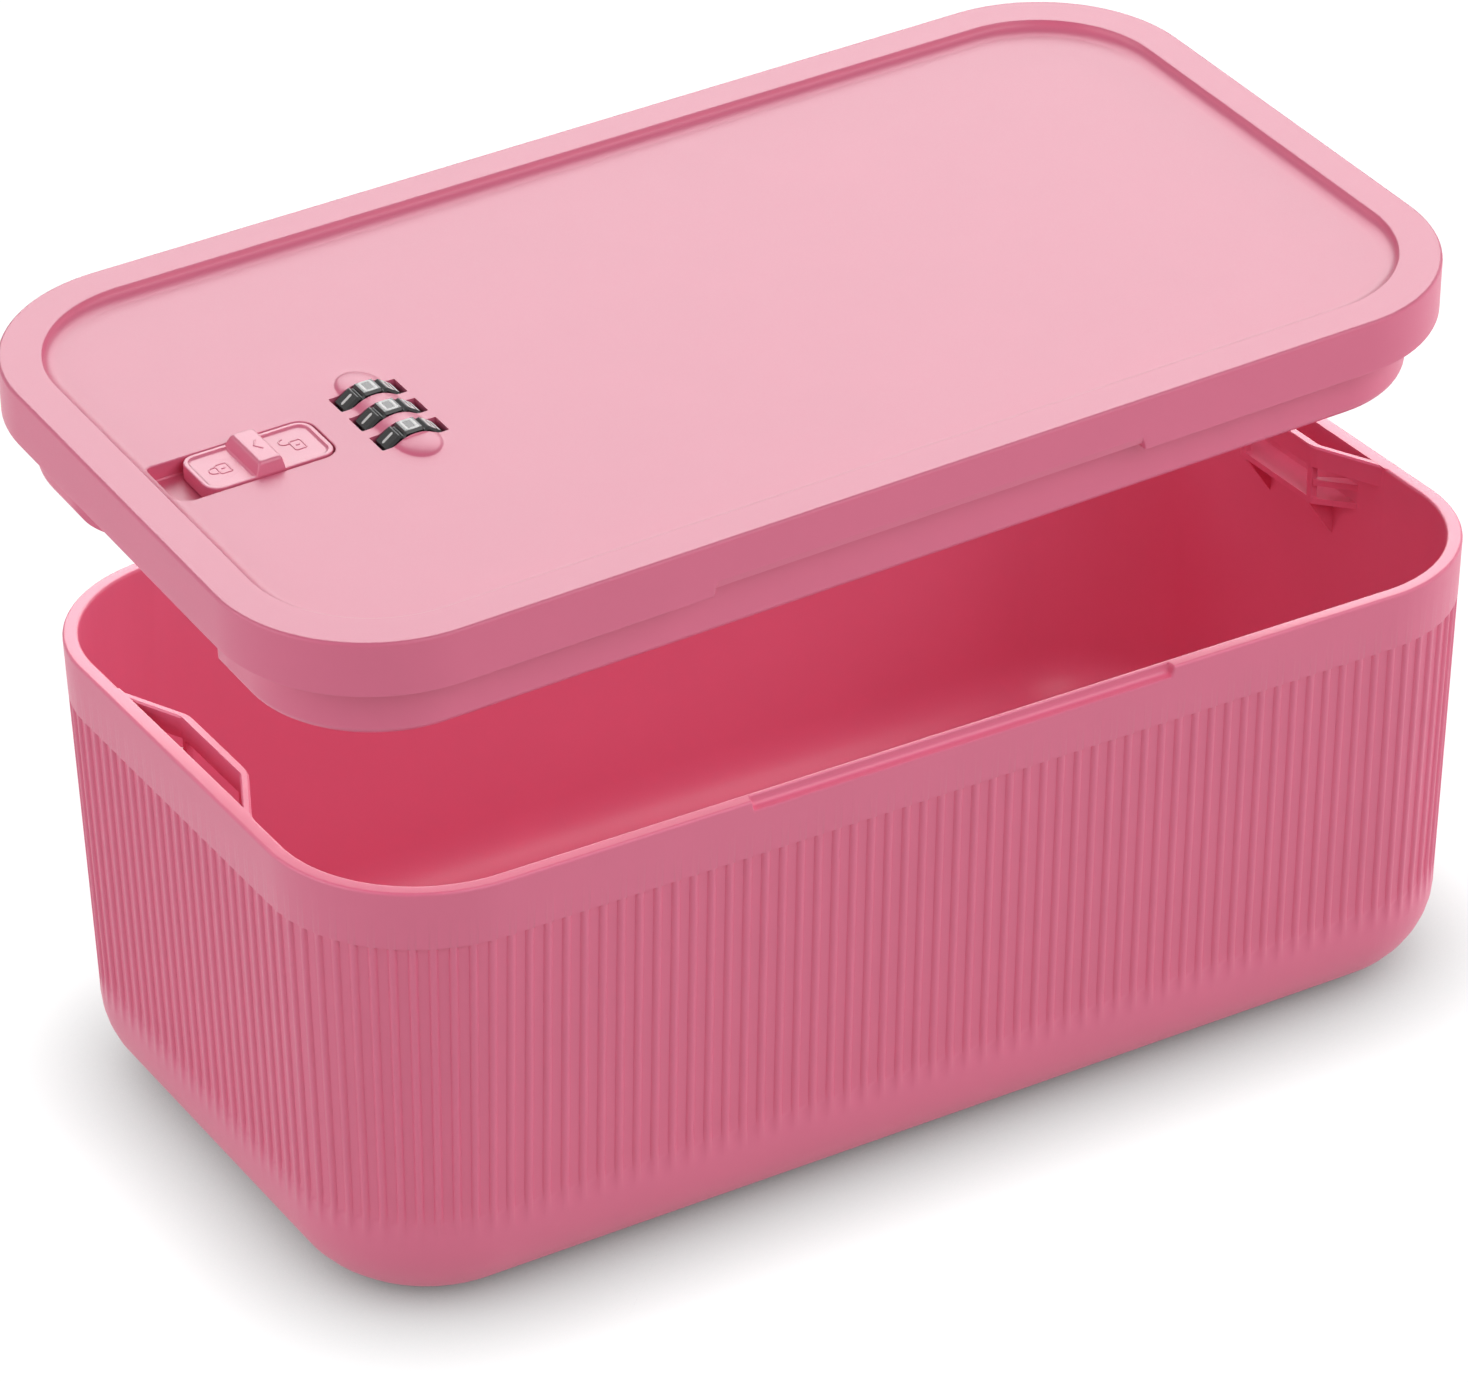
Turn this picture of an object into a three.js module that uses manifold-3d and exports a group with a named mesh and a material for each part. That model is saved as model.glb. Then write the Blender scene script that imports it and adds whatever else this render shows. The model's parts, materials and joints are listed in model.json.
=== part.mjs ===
// Medication lock box: a ribbed tub and a lift-off lid with a slide latch and three number wheels.
// Millimetres, +Z up, +X along the length, -Y the front. The origin is the middle of the tub's underside.
// The lid's pieces are placed as if it were shut, with z = 0 at the skirt's lower edge. Their group is then
// swung open about a far axis, the way two hands lift the lid off.
import * as THREE from 'three';
import { mergeVertices } from 'three/addons/utils/BufferGeometryUtils.js';
import Module from 'manifold-3d';

const wasm = await Module();
wasm.setup();

// Tub
const boxLength = 250;
const boxWidth = 137.3;
const tubHeight = 93.1;
const cornerRadius = 30.7;
const baseCornerRadius = 27.7;
const endDraft = 1.9;
const sideDraft = 4.5;
const baseFillet = 16.7;
const tubWall = 3;
const floorThickness = 3;
const rimEdge = 0.5;
const bandHeight = 11.7;
const ribPitch = 3.68;
const ribDepth = 0.6;
const ribRunOut = 0.6;
const ribFade = 8;

// Keepers, moulded on the inside of both short walls
const keeperReach = 6.5;
const keeperFlatHalf = 12;
const keeperBaseHalf = 26;
const keeperWall = 1.6;
const shelfThickness = 1.3;
const gussetHeight = 9.3;
const gussetHalfSpacing = 10.5;

// Pull notch across the front seam
const notchHalfLength = 45;
const tubNotchWidth = 1.9;
const tubNotchDepth = 2.1;
const tubNotchRadius = 1.4;
const skirtNotchRise = 1.2;
const skirtNotchInset = 0.9;
const skirtNotchHeight = 3;

// Lid
const lidHeight = 10.9;
const seamGap = 0.3;
const skirtWall = 2.6;
const lidEdge = 0.5;
const rimThickness = 2.6;
const recessInset = 7.6;
const recessDepth = 2;
const recessSlope = 3;
const recessCornerRadius = 24.4;
const recessInwardShares = [0, 0.12, 0.4, 1];
const recessDownShares = [0, 0.45, 0.85, 1];
const panelThickness = 2.4;
const bossRadius = 3.5;

// Liner, the plug under the lid
const plugInset = 5.8;
const plugDrop = 12;
const plugEdge = 2;
const plugEdgeInShares = [1, 0.3, 0];
const plugEdgeUpShares = [0, 0.3, 1];
const linerWall = 2.2;
const linerFloor = 2;
const linerPad = 2;
const flangeThickness = 1.8;
const pocketGap = 2.8;
const blindHole = 1.4;

// Latch: slider, carriage and the fence for the wheels
const slotFromEnd = 9.7;
const sliderLength = 25.4;
const sliderHalfWidth = 6.3;
const latchTravel = 5.8;
const slotDepth = 3.2;
const slotFloor = 1.4;
const trayWall = 1.2;
const slotCornerRadius = 3.2;
const slotSharpRadius = 1.1;
const sliderBorder = 0.9;
const sliderDish = 0.6;
const sliderProud = 0.15;
const thumbLength = 5.9;
const thumbRise = 2.4;
const thumbFromEnd = 10.4;
const thumbFrontSlope = 1.1;
const thumbBackSlope = 0.4;
const thumbEndSlope = 0.85;
const stemLength = 8;
const stemHalfWidth = 1.9;
const stemFromEnd = 8.8;
const carriageHalfWidth = 8.2;
const carriageThickness = 2.4;
const legHalfWidth = 5;
const fenceLength = 2.8;
const fenceThickness = 1;
const toothWidth = 0.9;
const stakeRadius = 0.6;
const stakeYShares = [-0.6, 0.35];

// Detent leaf beside the carriage
const leafLength = 13;
const leafThickness = 0.5;
const leafBump = 1.2;
const leafEnd = 2.6;
const leafPostWall = 1.2;
const leafFromSlotEnd = 12.8;

// Bolts, pinion and guides
const boltThickness = 3;
const boltHalfWidth = 6;
const boltPlay = 1.9;
const boltBevel = 1.2;
const tailHalfWidth = 4;
const tailHeadLength = 32;
const toothModule = 1;
const pinionTeeth = 12;
const pressureDegrees = 25;
const addendumShare = 0.8;
const flankPlay = 0.075;
const rackWidth = 4;
const rackNeck = 5;
const rackTeeth = 6;
const wheelsToPinion = 36.5;
const guideLength = 8;
const guideLeg = 2;
const guideEar = 4.4;
const guideEarThickness = 2;
const guideBridge = 1.4;
const leftGuideFromLeg = 0.8;
const rightGuideFromTip = 20.4;

// Number wheels and their frame
const slotToWheels = 13;
const wheelPitch = 7.5;
const wheelWidth = 4.4;
const wheelFaceRadius = 7.4;
const wheelProud = 2;
const wheelGroove = 0.4;
const facetShare = 0.74;
const digitCount = 10;
const wheelSlotHalfLength = 6.7;
const ridgeDrop = 0.5;
const domeHalfLength = 4.8;
const domeReach = 6.7;
const hubRadius = 3.6;
const hubHalfLength = 3.5;
const keyHalfWidth = 0.5;
const keyHeight = 0.6;
const gateDepth = 0.8;
const gateHalfHeight = 0.9;
const axleRadius = 1;
const housingWall = 2.1;
const housingEndPlay = 0.4;
const earLength = 4.7;
const earWidth = 4.4;
const earThickness = 2.2;

// Reset lever and the axle's spring
const springRoom = 6.5;
const springWire = 0.25;
const springClearance = 0.65;
const springTurns = 5;
const leverThickness = 2;
const leverHalfWidth = 2.6;
const leverTravel = 2;
const leverRecess = 0.4;
const leverHead = 1.2;
const axleStub = 1;

// Screws
const linerScrew = { shank: 1.5, length: 10, head: 2.8, headHeight: 1.8 };
const housingScrew = { shank: 0.9, length: 4, head: 1.8, headHeight: 1.2 };
const guideScrew = { shank: 0.95, length: 3.2, head: 1.9, headHeight: 1.2 };
const pinionScrew = { shank: 1.5, head: 3, headHeight: 1.4 };
const latchScrew = { shank: 0.9, head: 1.7, headHeight: 1.2 };
const latchScrewGrip = 2.6;
const latchScrewHalfSpacing = 2.2;
const linerScrewFromSide = 17;
const linerScrewFromEnd = 32.4;
const linerScrewMiddleX = 37.5;

// Clearances
const gap = 0.3;
const screwGap = 0.25;
const bite = 0.15;
const overrun = 1;

// The open lid: a turn about an axis far in front of the box, given from the middle of the tub's rim
const liftDegrees = 4.515;
const liftAxisX = -243;
const liftAxisY = -613.6;
const liftAxisZ = -50.4;
const liftDirectionShares = [0.91443, -0.37472, 0.15296];

// Counts that set how fine the round shapes are
const cornerSteps = 8;
const filletSteps = 4;
const roundSteps = 20;
const smallSteps = 10;
const springSteps = 10;
const wireSides = 5;

const pinkPlastic = { color: 0xdc8098, roughness: 0.5, metalness: 0 };
const blackPlastic = { color: 0x141414, roughness: 0.35, metalness: 0 };
const steel = { color: 0xb4b7ba, roughness: 0.3, metalness: 1 };

// Heights in the lid's own frame
const rimUnderside = lidHeight - rimThickness;
const panelTop = lidHeight - recessDepth;
const panelFoot = panelTop - panelThickness;
const linerTop = rimUnderside - gap;
const linerFloorTop = linerFloor - plugDrop;
const padTop = linerFloorTop + linerPad;
const flangeFoot = skirtNotchRise + bite;
const flangeTop = flangeFoot + flangeThickness;
const trayTop = panelTop - slotDepth;
const trayFoot = trayTop - slotFloor;
const carriageTop = trayFoot - gap;
const carriageFoot = carriageTop - carriageThickness;
const boltFoot = linerFloorTop + gap;
const boltTop = boltFoot + boltThickness;
const wheelZ = panelTop + wheelProud - wheelFaceRadius;
const fenceFoot = wheelZ - fenceThickness / 2;
const housingTop = panelFoot - gap;

// Places along the lid
const keeperFaceX = boxLength / 2 - tubWall - keeperReach;
const pocketFaceX = keeperFaceX - pocketGap;
const plugEndX = boxLength / 2 - plugInset;
const boltTipX = pocketFaceX - gap;
const slotLow = slotFromEnd - boxLength / 2;
const slotHigh = slotLow + sliderLength + latchTravel + 2 * gap;
const sliderHigh = slotHigh - gap;
const stemHigh = sliderHigh - stemFromEnd;
const stemLow = stemHigh - stemLength;
const stemX = (stemLow + stemHigh) / 2;
const carriageLow = latchTravel + linerWall + gap - pocketFaceX;
const fenceLow = slotHigh + trayWall + gap;
const fenceHigh = fenceLow + fenceLength;
const leafLow = slotLow + leafFromSlotEnd;
const leafMiddle = leafLow + leafLength / 2;
const wheelX = slotHigh + slotToWheels;
const pinionX = wheelX + wheelsToPinion;
const leftGuideX = stemHigh + leftGuideFromLeg + guideLength / 2;
const rightGuideX = boltTipX - rightGuideFromTip;

// Places across the lid
const slotHalfWidth = sliderHalfWidth + gap;
const leafFaceY = carriageHalfWidth + gap + leafBump;
const wheelYs = [wheelPitch, 0, -wheelPitch];
const wheelSlotHalfWidth = wheelWidth / 2 + gap;
const ridgeEndY = wheelPitch + wheelSlotHalfWidth;
const housingEndY = wheelPitch + hubHalfLength + housingEndPlay;
const housingOuterY = housingEndY + housingWall;
const leverY = housingOuterY + springRoom;
const guideScrewY = boltHalfWidth + gap + guideLeg + guideEar / 2;

// Radii about the wheels' axle
const wheelTipRadius = wheelFaceRadius / Math.cos(Math.PI / digitCount);
const wheelRoom = wheelTipRadius + gap;
const collarRadius = panelFoot - gap - wheelZ;
const ridgeRadius = wheelFaceRadius - ridgeDrop;
const boreRadius = axleRadius + screwGap;

// The frame round the wheels
const housingLow = wheelX - wheelRoom;
const housingInner = wheelX + wheelRoom + gap;
const housingHigh = housingInner + housingWall;
const housingFoot = wheelZ - wheelRoom;

// Screw places, and the height of the face under each head
const linerScrewPlaces = [-1, 1].flatMap((side) => {
  const y = side * (boxWidth / 2 - linerScrewFromSide);
  const endX = boxLength / 2 - linerScrewFromEnd;
  return [-endX, -linerScrewMiddleX, linerScrewMiddleX, endX].map((x) => [x, y]);
});
const guideScrewPlaces = [leftGuideX, rightGuideX].flatMap((x) => [[x, -guideScrewY], [x, guideScrewY]]);
const housingScrewPlaces = [-1, 1].flatMap((side) => {
  const y = side * (housingOuterY + earLength / 2);
  return [[housingLow + earWidth / 2, y], [housingHigh - earWidth / 2, y]];
});
const latchScrewPlaces = [-1, 1].map((side) => [stemX + side * latchScrewHalfSpacing, 0]);
const linerScrewSeat = linerFloorTop - linerFloor + linerScrew.headHeight + 2 * gap;
const guideScrewSeat = boltFoot + guideEarThickness;
const housingScrewSeat = housingTop - earThickness;
const latchScrewSeat = boltFoot + latchScrew.headHeight + gap + bite;
const latchScrewLength = trayFoot + latchScrewGrip - latchScrewSeat;

// A closed geometry as a solid that can be cut and joined
function solid(geometry) {
  const bare = geometry.clone();
  bare.deleteAttribute('normal');
  bare.deleteAttribute('uv');
  const merged = mergeVertices(bare);
  return new wasm.Manifold(new wasm.Mesh({
    numProp: 3,
    vertProperties: merged.attributes.position.array,
    triVerts: new Uint32Array(merged.index.array),
  }));
}

function geometryOf(shape) {
  const surface = shape.getMesh();
  const geometry = new THREE.BufferGeometry();
  geometry.setAttribute('position', new THREE.BufferAttribute(surface.vertProperties, surface.numProp));
  geometry.setIndex(new THREE.BufferAttribute(surface.triVerts, 1));
  return geometry;
}

function named(name, shape, finish) {
  const geometry = geometryOf(shape);
  geometry.computeVertexNormals();
  const mesh = new THREE.Mesh(geometry, new THREE.MeshStandardMaterial(finish));
  mesh.name = name;
  return mesh;
}

function join(solids) {
  return solids.reduce((whole, piece) => whole.add(piece));
}

// The same shape at the box's other end
function halfTurned(shape) {
  return solid(geometryOf(shape).rotateZ(Math.PI));
}

// A flat outline carried straight along Z, or along Y or X with the outline in the other two axes
function extruded(points, low, high) {
  const shape = new THREE.Shape(points.map(([x, y]) => new THREE.Vector2(x, y)));
  return new THREE.ExtrudeGeometry(shape, { depth: high - low, bevelEnabled: false }).translate(0, 0, low);
}

function prism(points, low, high) {
  return solid(extruded(points, low, high));
}

function prismAlongY(points, low, high) {
  return solid(extruded(points, -high, -low).rotateX(Math.PI / 2));
}

function prismAlongX(points, low, high) {
  const turn = new THREE.Matrix4().makeBasis(
    new THREE.Vector3(0, 1, 0),
    new THREE.Vector3(0, 0, 1),
    new THREE.Vector3(1, 0, 0),
  );
  return solid(extruded(points, low, high).applyMatrix4(turn));
}

function block([lowX, lowY, lowZ], [highX, highY, highZ]) {
  return prism([[lowX, lowY], [highX, lowY], [highX, highY], [lowX, highY]], lowZ, highZ);
}

function post([x, y], radius, low, high) {
  const geometry = new THREE.CylinderGeometry(radius, radius, high - low, smallSteps);
  geometry.rotateX(Math.PI / 2);
  return solid(geometry.translate(x, y, (low + high) / 2));
}

function posts(places, radius, low, high) {
  return places.map((place) => post(place, radius, low, high));
}

// A pin on the wheels' axle line
function pin(radius, low, high, steps = roundSteps) {
  const geometry = new THREE.CylinderGeometry(radius, radius, high - low, steps);
  return solid(geometry.translate(wheelX, (low + high) / 2, wheelZ));
}

// A screw with the underside of its head at the seat. Its tip points up, or down.
function screw([x, y], seat, { shank, length, head, headHeight }, up) {
  const profile = [
    [0, -headHeight], [head, -headHeight], [head, 0], [shank, 0], [shank, length], [0, length],
  ];
  const geometry = new THREE.LatheGeometry(profile.map(([r, h]) => new THREE.Vector2(r, h)), smallSteps);
  geometry.rotateX(up ? Math.PI / 2 : -Math.PI / 2);
  return solid(geometry.translate(x, y, seat));
}

function screws(name, places, seat, size, up) {
  return places.map((place, i) => named(`${name}_${i + 1}`, screw(place, seat, size, up), steel));
}

// A rounded rectangle that stands on end from low to high. The corner at the low end's back may be sharper.
function roundedBlock(lowX, highX, halfWidth, radius, low, high, sharpRadius = radius) {
  const corners = [[1, 1, radius], [-1, 1, sharpRadius], [-1, -1, radius], [1, -1, radius]];
  const points = corners.flatMap(([sideX, sideY, round], quarter) => {
    const x = (sideX > 0 ? highX : lowX) - sideX * round;
    const y = sideY * (halfWidth - round);
    return Array.from({ length: filletSteps + 1 }, (_, i) => {
      const angle = (quarter + i / filletSteps) * Math.PI / 2;
      return [x + round * Math.cos(angle), y + round * Math.sin(angle)];
    });
  });
  return prism(points, low, high);
}

// The box's outline is a rounded rectangle. A share from 0 to 1 is a place along it, by length at the rim.
const straightEnd = boxWidth - 2 * cornerRadius;
const straightSide = boxLength - 2 * cornerRadius;
const cornerArc = Math.PI / 2 * cornerRadius;
const stretches = [
  straightEnd, cornerArc, straightSide, cornerArc, straightEnd, cornerArc, straightSide, cornerArc,
];
const perimeter = stretches.reduce((sum, length) => sum + length);

function outlinePoint({ halfLength, halfWidth, radius }, share, inset) {
  let along = share * perimeter;
  let stretch = 0;
  while (stretch < stretches.length - 1 && along > stretches[stretch]) {
    along -= stretches[stretch];
    stretch += 1;
  }
  const part = along / stretches[stretch];
  const quarter = Math.floor(stretch / 2);
  const onEnd = quarter % 2 === 0;
  const reach = onEnd ? halfLength : halfWidth;
  const halfStraight = (onEnd ? halfWidth : halfLength) - radius;
  const isArc = stretch % 2 === 1;
  const sweep = part * Math.PI / 2;
  const out = isArc ? reach - radius + (radius - inset) * Math.cos(sweep) : reach - inset;
  const side = isArc ? halfStraight + (radius - inset) * Math.sin(sweep) : halfStraight * (2 * part - 1);
  const turn = quarter * Math.PI / 2;
  return [out * Math.cos(turn) - side * Math.sin(turn), out * Math.sin(turn) + side * Math.cos(turn)];
}

const plainShares = stretches.flatMap((length, k) => {
  const before = stretches.slice(0, k).reduce((sum, one) => sum + one, 0);
  const steps = k % 2 === 0 ? 1 : cornerSteps;
  return Array.from({ length: steps }, (_, i) => (before + length * i / steps) / perimeter);
});
const ribCount = Math.round(perimeter / ribPitch);
const crestShares = Array.from({ length: ribCount }, (_, i) => i / ribCount);
const ribbedShares = Array.from({ length: 2 * ribCount }, (_, i) => i / (2 * ribCount));

// One ring of points at one height. Every second point of a ribbed ring is the bottom of a groove.
function ring(outline, height, shares = plainShares) {
  const grooved = shares === ribbedShares;
  const points = shares.map((share, i) => {
    const [x, y] = outlinePoint(outline, share, grooved && i % 2 === 1 ? ribDepth : 0);
    return [x, y, height];
  });
  return { shares, points };
}

// A closed solid from rings, each joined to the next one, with a cap on the first and the last
function loft(rings) {
  const positions = [];
  const faces = [];
  const starts = rings.map(({ points }) => {
    const start = positions.length / 3;
    points.forEach((point) => positions.push(...point));
    return start;
  });
  rings.slice(1).forEach((upper, k) => {
    const lower = rings[k];
    const lowCount = lower.shares.length;
    const highCount = upper.shares.length;
    const low = (i) => starts[k] + i % lowCount;
    const high = (j) => starts[k + 1] + j % highCount;
    let i = 0;
    let j = 0;
    while (i < lowCount || j < highCount) {
      const nextLow = i < lowCount ? lower.shares[i + 1] ?? 1 : 2;
      const nextHigh = j < highCount ? upper.shares[j + 1] ?? 1 : 2;
      if (nextLow <= nextHigh) {
        faces.push(low(i), low(i + 1), high(j));
        i += 1;
      } else {
        faces.push(low(i), high(j + 1), high(j));
        j += 1;
      }
    }
  });
  const cap = (k, facingUp) => {
    const middle = positions.length / 3;
    const { points } = rings[k];
    positions.push(0, 0, points[0][2]);
    points.forEach((_, i) => {
      const here = starts[k] + i;
      const next = starts[k] + (i + 1) % points.length;
      faces.push(...(facingUp ? [middle, here, next] : [middle, next, here]));
    });
  };
  cap(0, false);
  cap(rings.length - 1, true);
  const geometry = new THREE.BufferGeometry();
  geometry.setAttribute('position', new THREE.Float32BufferAttribute(positions, 3));
  geometry.setIndex(faces);
  return solid(geometry);
}

// The tub's outline at a height, drawn in by the draft of its walls and by an inset
function tubOutline(height, inset) {
  const down = 1 - height / tubHeight;
  return {
    halfLength: boxLength / 2 - endDraft * down - inset,
    halfWidth: boxWidth / 2 - sideDraft * down - inset,
    radius: cornerRadius + (baseCornerRadius - cornerRadius) * down - inset,
  };
}

// The lid's outline drawn in by an inset
function lidOutline(inset, radius = cornerRadius - inset) {
  return { halfLength: boxLength / 2 - inset, halfWidth: boxWidth / 2 - inset, radius };
}

// Rings of the quarter round between the tub's floor and its wall
function filletRings(floor, radius, inset) {
  return Array.from({ length: filletSteps }, (_, i) => {
    const angle = i / filletSteps * Math.PI / 2;
    const height = floor + radius * (1 - Math.cos(angle));
    return ring(tubOutline(height, inset + radius * (1 - Math.sin(angle))), height);
  });
}

// A keeper on the right-hand wall: a collar open at top and bottom, corner posts, a shelf and two gussets.
// The lid's bolt passes under the collar's face, through the window over the shelf.
function keeper() {
  const wallX = boxLength / 2 - tubWall;
  const rootX = wallX + tubWall / 2;
  const slope = (keeperBaseHalf - keeperFlatHalf) / keeperReach;
  const rootHalf = keeperFlatHalf + slope * (rootX - keeperFaceX);
  const sideWall = keeperWall * Math.hypot(1, slope);
  const holeFaceHalf = keeperFlatHalf + slope * keeperWall - sideWall;
  const outside = [[rootX, -rootHalf], [rootX, rootHalf], [keeperFaceX, keeperFlatHalf],
    [keeperFaceX, -keeperFlatHalf]];
  const inside = [[rootX, sideWall - rootHalf], [rootX, rootHalf - sideWall],
    [keeperFaceX + keeperWall, holeFaceHalf], [keeperFaceX + keeperWall, -holeFaceHalf]];
  const shutLid = tubHeight + seamGap;
  const collarFoot = shutLid + boltTop + boltPlay;
  const shelfTop = shutLid + boltFoot - boltPlay;
  const shelfFoot = shelfTop - shelfThickness;
  const ribMiddle = (collarFoot + shelfTop) / 2;
  const loop = (low, high) => prism(outside, low, high)
    .subtract(prism(inside, low - overrun, high + overrun));
  const collar = loop(collarFoot, tubHeight);
  const shelf = prism(outside, shelfFoot, shelfTop);
  const corner = block(
    [keeperFaceX, keeperFlatHalf - keeperWall, shelfTop - bite],
    [keeperFaceX + keeperWall, keeperFlatHalf, collarFoot + bite],
  );
  const otherCorner = block(
    [keeperFaceX, -keeperFlatHalf, shelfTop - bite],
    [keeperFaceX + keeperWall, keeperWall - keeperFlatHalf, collarFoot + bite],
  );
  const front = block([keeperFaceX - overrun, -keeperFlatHalf, 0], [rootX + overrun, keeperFlatHalf, tubHeight]);
  const sideRibs = loop(ribMiddle - shelfThickness / 2, ribMiddle + shelfThickness / 2).subtract(front);
  const gussetOutline = [
    [rootX, shelfFoot + bite], [keeperFaceX, shelfFoot + bite],
    [wallX, shelfFoot - gussetHeight], [rootX, shelfFoot - gussetHeight],
  ];
  const gussets = [-gussetHalfSpacing, gussetHalfSpacing].map((y) => prismAlongY(gussetOutline,
    y - shelfThickness / 2, y + shelfThickness / 2));
  return join([collar, shelf, corner, otherCorner, sideRibs, ...gussets]);
}

// The groove in the rim's outer edge that fingers reach into
function tubNotch() {
  const front = -boxWidth / 2;
  const arc = Array.from({ length: filletSteps + 1 }, (_, i) => {
    const angle = i / filletSteps * Math.PI / 2;
    return [
      front + tubNotchWidth - tubNotchRadius * (1 - Math.sin(angle)),
      tubHeight - tubNotchDepth + tubNotchRadius * (1 - Math.cos(angle)),
    ];
  });
  const outline = [
    [front - overrun, tubHeight + overrun], [front - overrun, tubHeight - tubNotchDepth],
    ...arc, [front + tubNotchWidth, tubHeight + overrun],
  ];
  return prismAlongX(outline, -notchHalfLength, notchHalfLength);
}

function tub() {
  const ribTop = tubHeight - bandHeight;
  const innerFillet = baseFillet - floorThickness;
  const outer = [
    ...filletRings(0, baseFillet, 0),
    ring(tubOutline(baseFillet, 0), baseFillet, crestShares),
    ring(tubOutline(baseFillet + ribFade, 0), baseFillet + ribFade, ribbedShares),
    ring(tubOutline(ribTop - ribRunOut, 0), ribTop - ribRunOut, ribbedShares),
    ring(tubOutline(ribTop, 0), ribTop, crestShares),
    ring(tubOutline(tubHeight - rimEdge, 0), tubHeight - rimEdge),
    ring(tubOutline(tubHeight, rimEdge), tubHeight),
  ];
  const inner = [
    ring(tubOutline(tubHeight, tubWall), tubHeight),
    ring(tubOutline(baseFillet, tubWall), baseFillet),
    ...filletRings(floorThickness, innerFillet, tubWall).reverse(),
  ];
  const rightKeeper = keeper();
  const whole = join([loft([...outer, ...inner]), rightKeeper, halfTurned(rightKeeper)]);
  return named('tub', whole.subtract(tubNotch()), pinkPlastic);
}

// Ridges between the wheels and a dome at each end of the row
function wheelSurround() {
  const low = panelFoot + gap;
  const ridge = pin(ridgeRadius, -ridgeEndY, ridgeEndY, 2 * roundSteps).intersect(block(
    [wheelX - wheelRoom, -ridgeEndY, low],
    [wheelX + wheelRoom, ridgeEndY, lidHeight],
  ));
  const domes = [-ridgeEndY, ridgeEndY].map((y) => {
    const ball = new THREE.SphereGeometry(1, roundSteps, smallSteps);
    ball.rotateX(Math.PI / 2);
    ball.scale(domeHalfLength, domeReach, ridgeRadius + wheelZ - panelTop);
    return solid(ball.translate(wheelX, y, panelTop)).intersect(block(
      [wheelX - wheelRoom, -boxWidth, panelTop - bite],
      [wheelX + wheelRoom, boxWidth, lidHeight],
    ));
  });
  return join([ridge, ...domes]);
}

function wheelSlots() {
  return wheelYs.flatMap((y) => [
    block(
      [wheelX - wheelSlotHalfLength, y - wheelSlotHalfWidth, panelFoot - overrun],
      [wheelX + wheelSlotHalfLength, y + wheelSlotHalfWidth, lidHeight + overrun],
    ),
    pin(wheelRoom, y - wheelSlotHalfWidth, y + wheelSlotHalfWidth, 2 * roundSteps),
  ]);
}

// Two posts under the panel, each with a slot that takes one end of the detent leaf
function leafPosts() {
  const backY = leafFaceY + leafThickness + gap;
  const ends = [[leafLow - gap - leafPostWall, leafLow + leafEnd],
    [leafLow + leafLength - leafEnd, leafLow + leafLength + gap + leafPostWall]];
  const blocks = ends.map(([low, high]) => block(
    [low, carriageHalfWidth + gap, carriageFoot],
    [high, backY + leafPostWall, panelFoot + bite],
  ));
  const slot = block(
    [leafLow - gap, leafFaceY - gap, carriageFoot - overrun],
    [leafLow + leafLength + gap, backY, carriageTop],
  );
  return join(blocks).subtract(slot);
}

function lidShell() {
  const ceilingInset = plugInset + linerWall + gap;
  const recess = recessInwardShares.map((share, i) => ring(
    lidOutline(recessInset + recessSlope * share, recessCornerRadius - recessSlope * share),
    lidHeight - recessDepth * recessDownShares[i],
  ));
  const shell = loft([
    ring(lidOutline(ceilingInset), panelFoot),
    ring(lidOutline(ceilingInset), rimUnderside),
    ring(lidOutline(skirtWall), rimUnderside),
    ring(lidOutline(skirtWall), 0),
    ring(lidOutline(0), 0),
    ring(lidOutline(0), lidHeight - lidEdge),
    ring(lidOutline(lidEdge), lidHeight),
    ...recess,
  ]);
  const tray = block(
    [slotLow - trayWall, -slotHalfWidth - trayWall, trayFoot],
    [slotHigh + trayWall, slotHalfWidth + trayWall, panelFoot + bite],
  );
  const bosses = posts(linerScrewPlaces, bossRadius, padTop + gap, panelFoot + bite);
  const slot = roundedBlock(slotLow, slotHigh, slotHalfWidth, slotCornerRadius, trayTop, lidHeight,
    slotSharpRadius);
  const slit = block(
    [stemLow - latchTravel - gap, -stemHalfWidth - gap, trayFoot - overrun],
    [stemHigh + gap, stemHalfWidth + gap, trayTop + overrun],
  );
  const front = -boxWidth / 2;
  const back = front + skirtWall + overrun;
  const skirtNotch = prismAlongX([
    [front - overrun, -overrun], [back, -overrun], [back, skirtNotchRise],
    [front + skirtNotchInset, skirtNotchRise], [front, skirtNotchHeight], [front - overrun, skirtNotchHeight],
  ], -notchHalfLength, notchHalfLength);
  const bossHoles = posts(linerScrewPlaces, linerScrew.shank + screwGap,
    padTop, linerScrewSeat + linerScrew.length + gap);
  const housingHoles = posts(housingScrewPlaces, housingScrew.shank + screwGap,
    panelFoot - overrun, housingScrewSeat + housingScrew.length);
  const whole = join([shell, tray, wheelSurround(), leafPosts(), ...bosses]);
  const cuts = join([slot, slit, skirtNotch, ...wheelSlots(), ...bossHoles, ...housingHoles]);
  return named('lid_shell', whole.subtract(cuts), pinkPlastic);
}

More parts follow.
